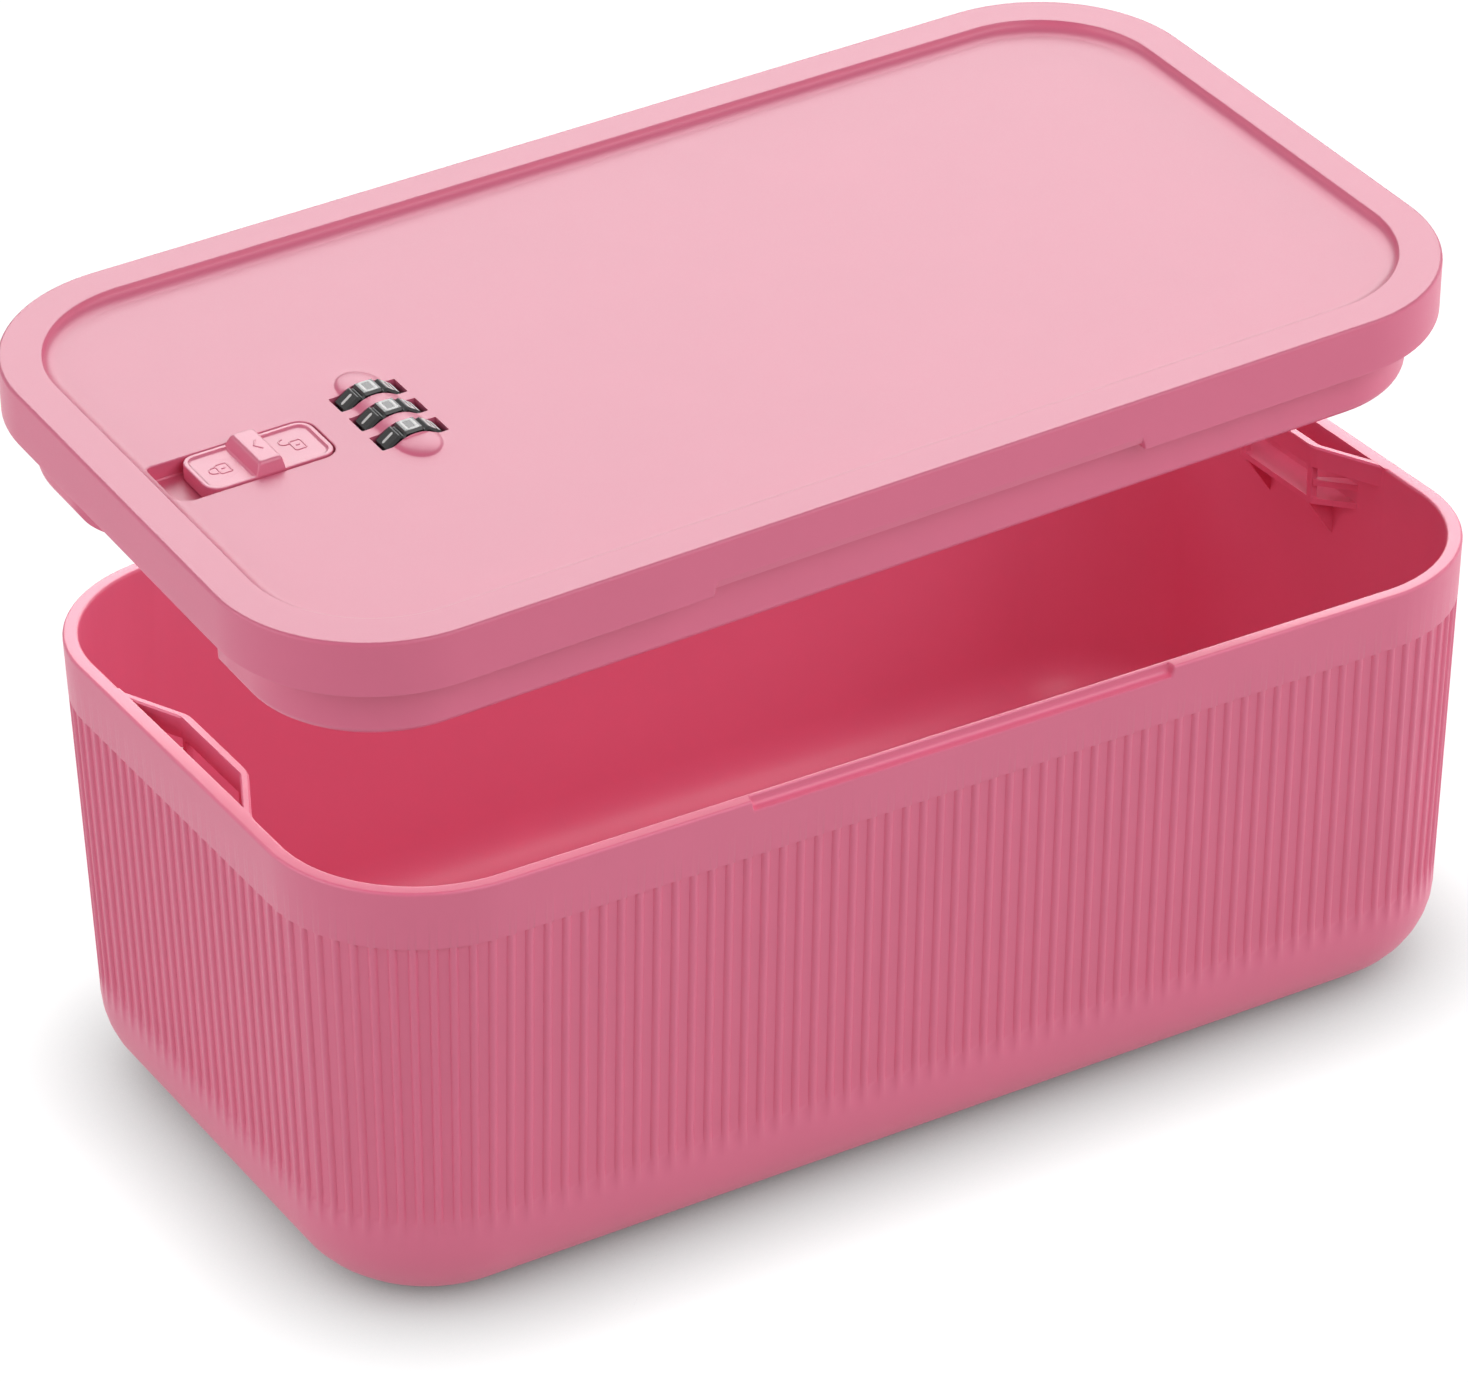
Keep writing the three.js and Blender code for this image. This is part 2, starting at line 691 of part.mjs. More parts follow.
// The tray under the lid. Its ends are drawn in around the keepers.
function lidLiner() {
  const innerInset = plugInset + linerWall;
  const flangeInset = skirtWall + gap;
  const edge = plugEdgeInShares.map((share, i) => ring(lidOutline(plugInset + plugEdge * share),
    plugEdge * plugEdgeUpShares[i] - plugDrop));
  const tray = loft([
    ...edge,
    ring(lidOutline(plugInset), flangeFoot),
    ring(lidOutline(flangeInset), flangeFoot),
    ring(lidOutline(flangeInset), flangeTop),
    ring(lidOutline(plugInset), flangeTop),
    ring(lidOutline(plugInset), linerTop),
    ring(lidOutline(innerInset), linerTop),
    ring(lidOutline(innerInset), linerFloorTop),
  ]);
  const slope = (keeperBaseHalf - keeperFlatHalf) / keeperReach;
  const trapezoid = (faceX, endX) => {
    const faceHalf = keeperFlatHalf + gap;
    const endHalf = faceHalf + slope * (endX - faceX);
    return [[endX, -endHalf], [endX, endHalf], [faceX, faceHalf], [faceX, -faceHalf]];
  };
  const casing = prism(trapezoid(pocketFaceX - linerWall, plugEndX - linerWall + bite), -plugDrop, flangeTop);
  const room = prism(trapezoid(pocketFaceX, plugEndX + overrun), -plugDrop - overrun, flangeFoot);
  const boltHole = block(
    [pocketFaceX - linerWall - overrun, -boltHalfWidth - gap, boltFoot - gap],
    [pocketFaceX + overrun, boltHalfWidth + gap, boltTop + gap],
  );
  const pads = posts(linerScrewPlaces, bossRadius + overrun, linerFloorTop - bite, padTop);
  const leverSlot = block(
    [wheelX - leverHalfWidth - gap, leverY - leverTravel - gap, -plugDrop - overrun],
    [wheelX + leverHalfWidth + gap, leverY + leverThickness + gap, linerFloorTop + overrun],
  );
  const cuts = join([
    room, halfTurned(room), boltHole, halfTurned(boltHole), leverSlot,
    ...posts(linerScrewPlaces, linerScrew.head + gap, -plugDrop - overrun, linerScrewSeat + gap),
    ...posts(linerScrewPlaces, linerScrew.shank + screwGap, linerScrewSeat, padTop + overrun),
    ...posts(guideScrewPlaces, guideScrew.shank + screwGap, linerFloorTop - blindHole, linerFloorTop + overrun),
    post([pinionX, 0], pinionScrew.shank + screwGap, linerFloorTop - blindHole, linerFloorTop + overrun),
  ]);
  const whole = join([tray, casing, halfTurned(casing), ...pads]);
  return named('lid_liner', whole.subtract(cuts), pinkPlastic);
}

// Holes for the two screws that run up through the bolt and the carriage into the slider
function latchScrewHoles() {
  const top = latchScrewSeat + latchScrewLength + gap;
  return join(posts(latchScrewPlaces, latchScrew.shank + screwGap, boltFoot - overrun, top));
}

// The thumb plate: a raised border round two dished faces, and a tapered bar across the middle
function latchSlider() {
  const low = sliderHigh - sliderLength;
  const top = panelTop + sliderProud;
  const foot = trayTop + gap;
  const radius = slotCornerRadius - gap;
  const thumbHigh = sliderHigh - thumbFromEnd;
  const thumbLow = thumbHigh - thumbLength;
  const plate = roundedBlock(low, sliderHigh, sliderHalfWidth, radius, foot, top);
  const dishes = [[low + sliderBorder, thumbLow], [thumbHigh, sliderHigh - sliderBorder]]
    .map(([from, to]) => roundedBlock(from, to, sliderHalfWidth - sliderBorder, radius - sliderBorder,
      top - sliderDish, top + overrun));
  const thumbFoot = foot + gap;
  const thumbTop = panelTop + thumbRise;
  const thumb = prismAlongY([
    [thumbLow, thumbFoot], [thumbHigh, thumbFoot], [thumbHigh - thumbBackSlope, thumbTop],
    [thumbLow + thumbFrontSlope, thumbTop],
  ], -sliderHalfWidth, sliderHalfWidth).intersect(prismAlongX([
    [-sliderHalfWidth, thumbFoot], [sliderHalfWidth, thumbFoot], [sliderHalfWidth, top],
    [sliderHalfWidth - thumbEndSlope, thumbTop], [thumbEndSlope - sliderHalfWidth, thumbTop],
    [-sliderHalfWidth, top],
  ], thumbLow, thumbHigh));
  const stem = block([stemLow, -stemHalfWidth, trayFoot], [stemHigh, stemHalfWidth, foot + bite]);
  const whole = join([plate.subtract(join(dishes)), thumb, stem]);
  return named('latch_slider', whole.subtract(latchScrewHoles()), pinkPlastic);
}

const stakePlaces = stakeYShares.map((share) => [(fenceLow + fenceHigh) / 2, share * carriageHalfWidth]);

// The plate under the slot that keeps the slider in, with a leg down to the bolt
function latchCarriage() {
  const plate = block([carriageLow, -carriageHalfWidth, carriageFoot],
    [sliderHigh, carriageHalfWidth, carriageTop]);
  const step = block([sliderHigh - bite, -carriageHalfWidth, carriageFoot],
    [fenceHigh, carriageHalfWidth, fenceFoot - gap]);
  const leg = block([stemLow, -legHalfWidth, boltTop + gap], [stemHigh, legHalfWidth, carriageFoot + bite]);
  const stakes = posts(stakePlaces, stakeRadius, carriageFoot + bite, fenceFoot + fenceThickness);
  const notches = [leafMiddle, leafMiddle + latchTravel].map((x) => prism([
    [x - leafBump, carriageHalfWidth + bite], [x, carriageHalfWidth - leafBump],
    [x + leafBump, carriageHalfWidth + bite],
  ], carriageFoot - overrun, carriageTop + overrun));
  const whole = join([plate, step, leg, ...stakes]);
  return named('latch_carriage', whole.subtract(join([latchScrewHoles(), ...notches])), pinkPlastic);
}

// Steel comb staked to the carriage. Its teeth stand level with the gates in the hubs' collars.
function gateFence() {
  const top = fenceFoot + fenceThickness;
  const tipX = wheelX - collarRadius - gap;
  const toothHighY = -wheelWidth / 2 - gap;
  const toothLowY = toothHighY - toothWidth;
  const base = block([fenceLow, toothLowY - wheelPitch, fenceFoot], [fenceHigh, carriageHalfWidth, top]);
  const teeth = wheelYs.map((y) => block([fenceHigh - bite, y + toothLowY, fenceFoot],
    [tipX, y + toothHighY, top]));
  const holes = posts(stakePlaces, stakeRadius + screwGap, fenceFoot - overrun, top + overrun);
  return named('gate_fence', join([base, ...teeth]).subtract(join(holes)), steel);
}

// Gear and rack sizes that follow from the module
const pinionRadius = toothModule * pinionTeeth / 2;
const toothPitch = Math.PI * toothModule;
const pressureAngle = pressureDegrees * Math.PI / 180;
const addendum = addendumShare * toothModule;
const rackRoot = pinionRadius + toothModule;
const rackBack = rackRoot + rackWidth;
const rackHalfLength = rackTeeth / 2 * toothPitch;
const rackShift = Math.round(latchTravel / 2 / toothPitch) * toothPitch;

// The left bolt's rack teeth, which point at the pinion. A space stands over the pinion's middle.
function rack() {
  const halfAt = (out) => toothPitch / 4 - flankPlay - out * Math.tan(pressureAngle);
  const tooth = (x) => prism([
    [x - halfAt(-toothModule), rackRoot + bite], [x - halfAt(-toothModule), rackRoot],
    [x - halfAt(addendum), pinionRadius - addendum], [x + halfAt(addendum), pinionRadius - addendum],
    [x + halfAt(-toothModule), rackRoot], [x + halfAt(-toothModule), rackRoot + bite],
  ], boltFoot, boltTop);
  const firstX = pinionX + rackShift - rackHalfLength + toothPitch / 2;
  return join(Array.from({ length: rackTeeth }, (_, i) => tooth(firstX + i * toothPitch)));
}

// The left bolt: a flat bar with a bevelled tip, and an arm with the rack past the pinion
function latchBolt() {
  const armEnd = pinionX + rackShift + rackHalfLength;
  const barEnd = pinionX - rackHalfLength - latchTravel - rackNeck;
  const bar = prism([
    [boltBevel - boltTipX, -boltHalfWidth], [barEnd, -boltHalfWidth], [barEnd, rackRoot],
    [armEnd, rackRoot], [armEnd, rackBack], [barEnd - rackNeck, rackBack],
    [barEnd - rackNeck, boltHalfWidth], [boltBevel - boltTipX, boltHalfWidth],
    [-boltTipX, boltHalfWidth - boltBevel], [-boltTipX, boltBevel - boltHalfWidth],
  ], boltFoot, boltTop);
  const sinks = posts(latchScrewPlaces, latchScrew.head + screwGap, boltFoot - overrun, latchScrewSeat + gap);
  return named('latch_bolt', join([bar, rack()]).subtract(join([latchScrewHoles(), ...sinks])), steel);
}

// The right bolt: the same tip on a long bar, with its rack on the pinion's other side
function tailBolt() {
  const armStart = pinionX - rackShift - rackHalfLength;
  const barStart = pinionX + pinionRadius + addendum + overrun;
  const headStart = boltTipX - tailHeadLength;
  const bar = prism([
    [armStart, -rackBack], [barStart + rackNeck, -rackBack], [barStart + rackNeck, -tailHalfWidth],
    [headStart, -tailHalfWidth], [headStart, -boltHalfWidth], [boltTipX - boltBevel, -boltHalfWidth],
    [boltTipX, boltBevel - boltHalfWidth], [boltTipX, boltHalfWidth - boltBevel],
    [boltTipX - boltBevel, boltHalfWidth], [headStart, boltHalfWidth], [headStart, tailHalfWidth],
    [barStart, tailHalfWidth], [barStart, -rackRoot], [armStart, -rackRoot],
  ], boltFoot, boltTop);
  const turned = geometryOf(rack()).translate(-pinionX, 0, 0).rotateZ(Math.PI).translate(pinionX, 0, 0);
  return named('tail_bolt', join([bar, solid(turned)]), steel);
}

// An involute gear. Each flank runs from the root circle up to the tip.
function reversingPinion() {
  const baseRadius = pinionRadius * Math.cos(pressureAngle);
  const tipRadius = pinionRadius + addendum;
  const involute = (angle) => Math.tan(angle) - angle;
  const halfAtPitch = Math.PI / (2 * pinionTeeth) - flankPlay / pinionRadius;
  const halfAt = (radius) => halfAtPitch + involute(pressureAngle)
    - involute(Math.acos(Math.min(1, baseRadius / radius)));
  const flankRadii = Array.from({ length: filletSteps },
    (_, i) => baseRadius + (tipRadius - baseRadius) * i / (filletSteps - 1));
  const flank = [[pinionRadius - toothModule, halfAt(baseRadius)],
    ...flankRadii.map((radius) => [radius, halfAt(radius)])];
  const points = Array.from({ length: pinionTeeth }, (_, k) => {
    const middle = 2 * Math.PI * k / pinionTeeth;
    const up = flank.map(([radius, half]) => [radius, middle - half]);
    const down = flank.map(([radius, half]) => [radius, middle + half]).reverse();
    return [...up, ...down];
  }).flat().map(([radius, angle]) => [pinionX + radius * Math.cos(angle), radius * Math.sin(angle)]);
  const bore = post([pinionX, 0], pinionScrew.shank + screwGap, boltFoot - overrun, boltTop + overrun);
  return named('reversing_pinion', prism(points, boltFoot, boltTop).subtract(bore), blackPlastic);
}

function pinionScrewPiece() {
  const seat = boltTop + gap;
  const length = seat - linerFloorTop + blindHole - gap;
  return named('pinion_screw', screw([pinionX, 0], seat, { ...pinionScrew, length }, false), steel);
}

// A bridge over a bolt, with an ear on each side
function boltGuide(name, x) {
  const legInner = boltHalfWidth + gap;
  const legOuter = legInner + guideLeg;
  const earEnd = legOuter + guideEar;
  const bridgeFoot = boltTop + gap;
  const bridgeTop = bridgeFoot + guideBridge;
  const outline = [
    [-earEnd, boltFoot], [-legInner, boltFoot], [-legInner, bridgeFoot], [legInner, bridgeFoot],
    [legInner, boltFoot], [earEnd, boltFoot], [earEnd, guideScrewSeat], [legOuter, guideScrewSeat],
    [legOuter, bridgeTop], [-legOuter, bridgeTop], [-legOuter, guideScrewSeat], [-earEnd, guideScrewSeat],
  ];
  const bridge = prismAlongX(outline, x - guideLength / 2, x + guideLength / 2);
  const holes = posts([[x, -guideScrewY], [x, guideScrewY]], guideScrew.shank + screwGap,
    boltFoot - overrun, guideScrewSeat + overrun);
  return named(name, bridge.subtract(join(holes)), blackPlastic);
}

// The frame round the wheels: two end walls that carry the axle, a back wall and four screw ears.
// Its left side is open for the fence.
function dialHousing() {
  const plan = [
    [housingLow, -housingOuterY], [housingHigh, -housingOuterY], [housingHigh, housingOuterY],
    [housingLow, housingOuterY], [housingLow, housingEndY], [housingInner, housingEndY],
    [housingInner, -housingEndY], [housingLow, -housingEndY],
  ];
  const ears = housingScrewPlaces.map(([x, y]) => block(
    [x - earWidth / 2, y - earLength / 2 - bite, housingScrewSeat],
    [x + earWidth / 2, y + earLength / 2 + bite, housingTop],
  ));
  const cuts = [
    pin(boreRadius, -housingOuterY - overrun, housingOuterY + overrun),
    ...posts(housingScrewPlaces, housingScrew.shank + screwGap, housingFoot, housingTop + overrun),
  ];
  return named('dial_housing', join([prism(plan, housingFoot, housingTop), ...ears])
    .subtract(join(cuts)), blackPlastic);
}

// A number wheel: ten flat faces with a narrow groove between each two, and a keyway in its bore
function dialWheel(name, y) {
  const halfFace = Math.atan(Math.tan(Math.PI / digitCount) * facetShare);
  const edge = wheelFaceRadius / Math.cos(halfFace);
  const points = Array.from({ length: digitCount }, (_, k) => {
    const middle = Math.PI / 2 + 2 * Math.PI * k / digitCount;
    return [[edge, middle - halfFace], [edge, middle + halfFace],
      [wheelFaceRadius - wheelGroove, middle + Math.PI / digitCount]];
  }).flat().map(([radius, angle]) => [wheelX + radius * Math.cos(angle), wheelZ + radius * Math.sin(angle)]);
  const body = prismAlongY(points, y - wheelWidth / 2, y + wheelWidth / 2);
  const bore = pin(hubRadius + gap, y - wheelWidth, y + wheelWidth);
  const keyway = block(
    [wheelX - keyHalfWidth - gap, y - wheelWidth, wheelZ - hubRadius - keyHeight - gap],
    [wheelX + keyHalfWidth + gap, y + wheelWidth, wheelZ],
  );
  return named(name, body.subtract(join([bore, keyway])), blackPlastic);
}

// The keyed sleeve inside a wheel. The collar on its front side has the gate that the fence needs.
function dialHub(name, y) {
  const core = pin(hubRadius, y - wheelWidth / 2, y + wheelWidth / 2);
  const collar = pin(collarRadius, y - hubHalfLength, y + hubHalfLength);
  const key = block(
    [wheelX - keyHalfWidth, y - wheelWidth / 2, wheelZ - hubRadius - keyHeight],
    [wheelX + keyHalfWidth, y + wheelWidth / 2, wheelZ - hubRadius + gap],
  );
  const bore = pin(boreRadius, y - wheelPitch, y + wheelPitch);
  const gate = block(
    [wheelX - hubRadius, y - wheelPitch, wheelZ - gateHalfHeight],
    [wheelX - collarRadius + gateDepth, y - wheelWidth / 2 - bite, wheelZ + gateHalfHeight],
  );
  return named(name, join([core, collar, key]).subtract(join([bore, gate])), steel);
}

function dialAxle() {
  const low = -housingOuterY - gap;
  const high = leverY + leverThickness + axleStub;
  return named('dial_axle', pin(axleRadius, low, high), steel);
}

// The lever on the axle's end, reached through a slot in the liner's floor
function resetLever() {
  const arm = block(
    [wheelX - leverHalfWidth, leverY, leverRecess - plugDrop],
    [wheelX + leverHalfWidth, leverY + leverThickness, wheelZ + axleRadius + leverHead],
  );
  const bore = pin(boreRadius, leverY - overrun, leverY + leverThickness + overrun);
  return named('reset_lever', arm.subtract(bore), blackPlastic);
}

// The spring's wire winds round the axle between the frame and the lever
class SpringPath extends THREE.Curve {
  getPoint(t, target = new THREE.Vector3()) {
    const radius = axleRadius + springClearance + springWire;
    const low = housingOuterY + gap + springWire;
    const high = leverY - gap - springWire;
    const angle = 2 * Math.PI * springTurns * t;
    return target.set(wheelX + radius * Math.cos(angle), low + (high - low) * t,
      wheelZ + radius * Math.sin(angle));
  }
}

function axleSpring() {
  const section = Array.from({ length: wireSides }, (_, i) => {
    const angle = 2 * Math.PI * i / wireSides;
    return new THREE.Vector2(springWire * Math.cos(angle), springWire * Math.sin(angle));
  });
  const geometry = new THREE.ExtrudeGeometry(new THREE.Shape(section), {
    steps: springTurns * springSteps, bevelEnabled: false, extrudePath: new SpringPath(),
  });
  return named('axle_spring', solid(geometry), steel);
}

// A leaf with a bump towards the notches in the carriage's side
function detentSpring() {
  const backY = leafFaceY + leafThickness;
  const plan = [
    [leafLow, leafFaceY], [leafMiddle - leafBump, leafFaceY], [leafMiddle, leafFaceY - leafBump],
    [leafMiddle + leafBump, leafFaceY], [leafLow + leafLength, leafFaceY], [leafLow + leafLength, backY],
    [leafMiddle + leafBump, backY], [leafMiddle, backY - leafBump], [leafMiddle - leafBump, backY],
    [leafLow, backY],
  ];
  return named('detent_spring', prism(plan, carriageFoot, carriageTop - gap), steel);
}

const lid = new THREE.Group();
lid.add(
  lidShell(), lidLiner(), ...screws('liner_screw', linerScrewPlaces, linerScrewSeat, linerScrew, true),
  latchSlider(), latchCarriage(), gateFence(), latchBolt(),
  ...screws('latch_screw', latchScrewPlaces, latchScrewSeat, { ...latchScrew, length: latchScrewLength }, true),
  reversingPinion(), pinionScrewPiece(), tailBolt(),
  boltGuide('bolt_guide_left', leftGuideX), boltGuide('bolt_guide_right', rightGuideX),
  ...screws('guide_screw', guideScrewPlaces, guideScrewSeat + gap, guideScrew, false),
  dialHousing(), ...screws('housing_screw', housingScrewPlaces, housingScrewSeat - gap, housingScrew, true),
  ...wheelYs.map((y, i) => dialWheel(`dial_wheel_${i + 1}`, y)),
  ...wheelYs.map((y, i) => dialHub(`dial_hub_${i + 1}`, y)),
  dialAxle(), resetLever(), axleSpring(), detentSpring(),
);
lid.position.z = tubHeight + seamGap;

// Swing the shut lid up about the far axis
const swing = new THREE.Group();
const pivot = new THREE.Vector3(liftAxisX, liftAxisY, tubHeight + liftAxisZ);
const liftDirection = new THREE.Vector3(...liftDirectionShares).normalize();
swing.quaternion.setFromAxisAngle(liftDirection, liftDegrees * Math.PI / 180);
swing.position.copy(pivot).sub(pivot.clone().applyQuaternion(swing.quaternion));
swing.add(lid);

const box = new THREE.Group();
box.add(tub(), swing);

export default box;
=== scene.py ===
"""Medication lock box: fine surfaces, finishes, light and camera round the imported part.

Lengths are millimetres until a piece is placed. Pieces of the tub are worked out in the part's own frame.
Pieces of the lid are worked out as if the lid were shut, with z = 0 at the skirt's lower edge, and then swung
open. A level is one ring of a skin. Turns are shares of a quarter turn.
"""

import json
import bmesh
import bpy
import numpy as np
from mathutils import Matrix, Vector

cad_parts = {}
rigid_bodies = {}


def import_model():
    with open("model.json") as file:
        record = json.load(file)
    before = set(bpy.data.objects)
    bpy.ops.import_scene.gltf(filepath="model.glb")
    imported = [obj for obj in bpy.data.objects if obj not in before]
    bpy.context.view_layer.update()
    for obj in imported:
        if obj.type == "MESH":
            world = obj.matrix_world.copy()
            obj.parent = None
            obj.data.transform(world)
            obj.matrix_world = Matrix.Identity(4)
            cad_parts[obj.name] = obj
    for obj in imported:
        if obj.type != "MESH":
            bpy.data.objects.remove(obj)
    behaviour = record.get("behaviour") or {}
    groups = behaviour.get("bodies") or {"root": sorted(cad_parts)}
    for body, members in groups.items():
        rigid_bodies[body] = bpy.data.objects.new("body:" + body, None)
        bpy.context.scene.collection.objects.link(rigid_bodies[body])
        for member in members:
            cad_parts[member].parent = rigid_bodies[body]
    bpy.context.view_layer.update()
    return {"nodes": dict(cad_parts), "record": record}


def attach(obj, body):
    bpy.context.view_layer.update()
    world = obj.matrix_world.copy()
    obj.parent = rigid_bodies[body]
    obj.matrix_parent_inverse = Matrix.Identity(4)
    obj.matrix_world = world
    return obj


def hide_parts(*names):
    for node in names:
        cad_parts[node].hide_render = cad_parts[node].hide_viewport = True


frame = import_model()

# Camera, fitted to the photograph, in radians, metres and the photograph's pixels
AZIMUTH = -0.5292
ELEVATION = 0.5252
ROLL = -0.0161
DISTANCE = 1.19444
TARGET = (-0.0103, -0.003625, 0.073025)
SENSOR = 36
CLIP_END = 20
LENS_PIXELS = 6362
PICTURE_PIXELS = 1468

# Tub
BOX_LENGTH = 250.0
BOX_WIDTH = 137.3
TUB_HEIGHT = 93.1
CORNER_RADIUS = 30.7
BASE_CORNER_RADIUS = 27.7
END_DRAFT = 1.9
SIDE_DRAFT = 4.5
BASE_FILLET = 16.7
BASE_TURNS = np.linspace(0, 1, 11)
TUB_WALL = 3.0
FLOOR_THICKNESS = 3.0
RIM_ROUND = 0.6
RIM_TURNS = np.linspace(0, 1, 5)
BAND_HEIGHT = 11.7

# Ribs. A bead's columns are shares of its half width. A groove's last levels are a distance under the band
# and a share of the depth.
RIB_PITCH = 3.68
GROOVE_DEPTH = 0.6
GROOVE_FADE = 8.0
GROOVE_FADE_SHARES = np.linspace(0.15, 1, 7)
GROOVE_END_LEVELS = ((1.2, 1), (0.12, 1), (0.03, 0.1), (0, 0))
BEAD_SHARE = 0.47
BEAD_POWER = 2.6
BEAD_COLUMNS = np.array([0, 0.42, 0.74, 1, -1, -0.74, -0.42])

# Keepers, measured down from the rim and out from their middle
KEEPER_REACH = 6.5
KEEPER_FLAT = 12.0
KEEPER_BASE = 26.0
KEEPER_SLOPE = (KEEPER_BASE - KEEPER_FLAT) / KEEPER_REACH
KEEPER_WALL = 1.6
KEEPER_MARGIN = 1.0
WALL_BITE = 1.2
COLLAR_DROP = 4.5
COLLAR_LIP = 0.35
COLLAR_LIP_SPAN = 8.0
COLLAR_LIP_SHARES = (0.3, 0.7)
COLLAR_BENDS = (1.4, 0.7)
SHELF_DROP = 11.3
SHELF_THICKNESS = 1.3
SHELF_BEND = 1.0
LEDGE_BASE = 19.0
POST_SETBACK = 0.05
POST_BEND = 0.3
SIDE_RIB_SETBACK = (0.3, 0.2)
GUSSET_HEIGHT = 9.3
GUSSET_PLACE = 10.5
GUSSET_NOSE = (0.4, 0.3)

# Grip notch in the front seam. Levels are an inset and a height, which is over the ledge for the tub's lip.
NOTCH_HALF = 45.0
NOTCH_END = 0.8
NOTCH_COLUMNS = np.linspace(-0.2, 1.2, 9)
NOTCH_WIDTH = 1.9
NOTCH_DEPTH = 2.1
NOTCH_BEND = 1.2
NOTCH_EDGE = 0.2
NOTCH_LIP_LEVELS = ((0, -1.5), (0, -0.7), (0, -0.4), (0.12, -0.12), (0.4, 0), (0.7, 0))
PLAIN_LIP_DROPS = (3.6, 2.5, 2.1, 1.6, 1.1, 0.8)
PLAIN_RIM_RUNS = (0.1, 0.35)
SKIRT_NOTCH_RISE = 1.2
SKIRT_NOTCH_LEVELS = ((0.85, 1.2), (0.65, 1.35), (0.12, 2.8))

# Lid
SEAM_GAP = 0.3
GAP = 0.3
LID_HEIGHT = 10.9
SKIRT_WALL = 2.6
SKIRT_SHOULDER = 3.2
SKIRT_EDGE_LEVELS = ((0, 0.25), (0.07, 0.07), (0.25, 0))
SKIRT_PLAIN_LEVELS = ((0.45, 0), (0.13, 0.13), (0, 0.45))
SKIRT_FACE_FOOT = 3.2
RIM_THICKNESS = 2.6
LID_ROUND = 0.65
LID_ROUND_TURNS = np.linspace(0, 1, 6)
RECESS_INSET = 7.6
RECESS_DEPTH = 2.0
RECESS_SLOPE = 3.0
RECESS_RADIUS = 24.4
RECESS_LIP = 0.35
RECESS_LIP_RUN = 0.6
RECESS_LIP_TURNS = np.linspace(0, 0.8, 5)
RECESS_SLOPE_TURNS = np.linspace(0.24, 1, 12)
RECESS_FOOT_RUN = 0.5
PANEL_TOP = LID_HEIGHT - RECESS_DEPTH
PANEL_FOOT = PANEL_TOP - 2.4
RIM_UNDERSIDE = LID_HEIGHT - RIM_THICKNESS
LIFT_DEGREES = 4.515
LIFT_DIRECTION = (0.91443, -0.37472, 0.15296)
LIFT_PIVOT = (-243.0, -613.6, TUB_HEIGHT - 50.4)

# Latch. Feet, edges and the fillet are levels of (drop, inset) under a face.
SLIDER_LENGTH = 25.4
SLIDER_HALF = 6.3
LATCH_TRAVEL = 5.8
SLOT_LOW = 9.7 - BOX_LENGTH / 2
SLOT_HIGH = SLOT_LOW + SLIDER_LENGTH + LATCH_TRAVEL + 2 * GAP
SLOT_HALF = SLIDER_HALF + GAP
SLOT_RADIUS = 3.2
SLOT_SHARP_RADIUS = 1.1
SLOT_FOOT = ((0, 0.25), (-0.25, 0))
SLOT_EDGE = ((0.3, 0), (0.12, -0.05), (0.03, -0.17), (-0.01, -0.36))
SLIT_RADIUS = 0.4
TRAY_WALL = 1.2
TRAY_RADIUS = 0.6
TRAY_TOP = PANEL_TOP - 3.2
TRAY_FOOT = TRAY_TOP - 1.4
SLIDER_HIGH = SLOT_HIGH - GAP
SLIDER_LOW = SLIDER_HIGH - SLIDER_LENGTH
SLIDER_TOP = PANEL_TOP + 0.15
SLIDER_BORDER = 0.9
SLIDER_FOOT = ((0, 0.2), (-0.2, 0))
SLIDER_EDGE = ((0.3, 0), (0.1, 0.06), (0.02, 0.2), (0, 0.36))
DISH_DEPTH = 0.4
DISH_FOOT = ((0, 0.5), (-0.06, 0.26), (-0.22, 0.08))
DISH_EDGE = ((0.14, 0), (0.03, -0.06), (-0.01, -0.2))
THUMB_HIGH = SLIDER_HIGH - 10.4
THUMB_LOW = THUMB_HIGH - 5.9
THUMB_TOP = PANEL_TOP + 2.4
THUMB_FRONT_SLOPE = 1.1
THUMB_BACK_SLOPE = 0.4
THUMB_END_SLOPE = 0.85
THUMB_RADIUS = 0.4
THUMB_ROOT = 0.4
THUMB_FILLET = ((0.02, -0.3), (-0.05, -0.2), (-0.16, -0.08), (-0.34, 0))
THUMB_EDGE = ((0.55, 0), (0.3, 0.06), (0.12, 0.18), (0.03, 0.34), (0, 0.55))
STEM_HIGH = SLIDER_HIGH - 8.8
STEM_LOW = STEM_HIGH - 8.0
STEM_HALF = 1.9
STEM_RADIUS = 0.3
STEM_ROOT = 0.3

# Strokes, as half width and half height. An open one ends in a smaller ring past each end.
STROKE_SIDES = 8
TIP_SHARE = 0.45
TIP_RUN_SHARE = 0.8
SIGN_STROKE = (0.16, 0.1)
SIGN_LIFT = 0.01
CHEVRON_STROKE = (0.18, 0.12)
DIGIT_STROKE = (0.31, 0.06)

# Signs on the latch. A padlock's lines lie round its middle.
PADLOCK_BOX = [(-1.5, -1.9), (1.5, -1.9), (1.5, 0.3), (-1.5, 0.3)]
PADLOCK_BEND = 0.4
SHACKLE_RADIUS = 0.95
SHACKLE_FOOT = 0.35
SHACKLE_MIDDLE = 1.0
SHACKLE_POINTS = 13
KEYHOLE = [(0, -0.5), (0, -1.1)]
CHEVRON_DEPTH_HALF = 0.5
CHEVRON_HALF = 1.5

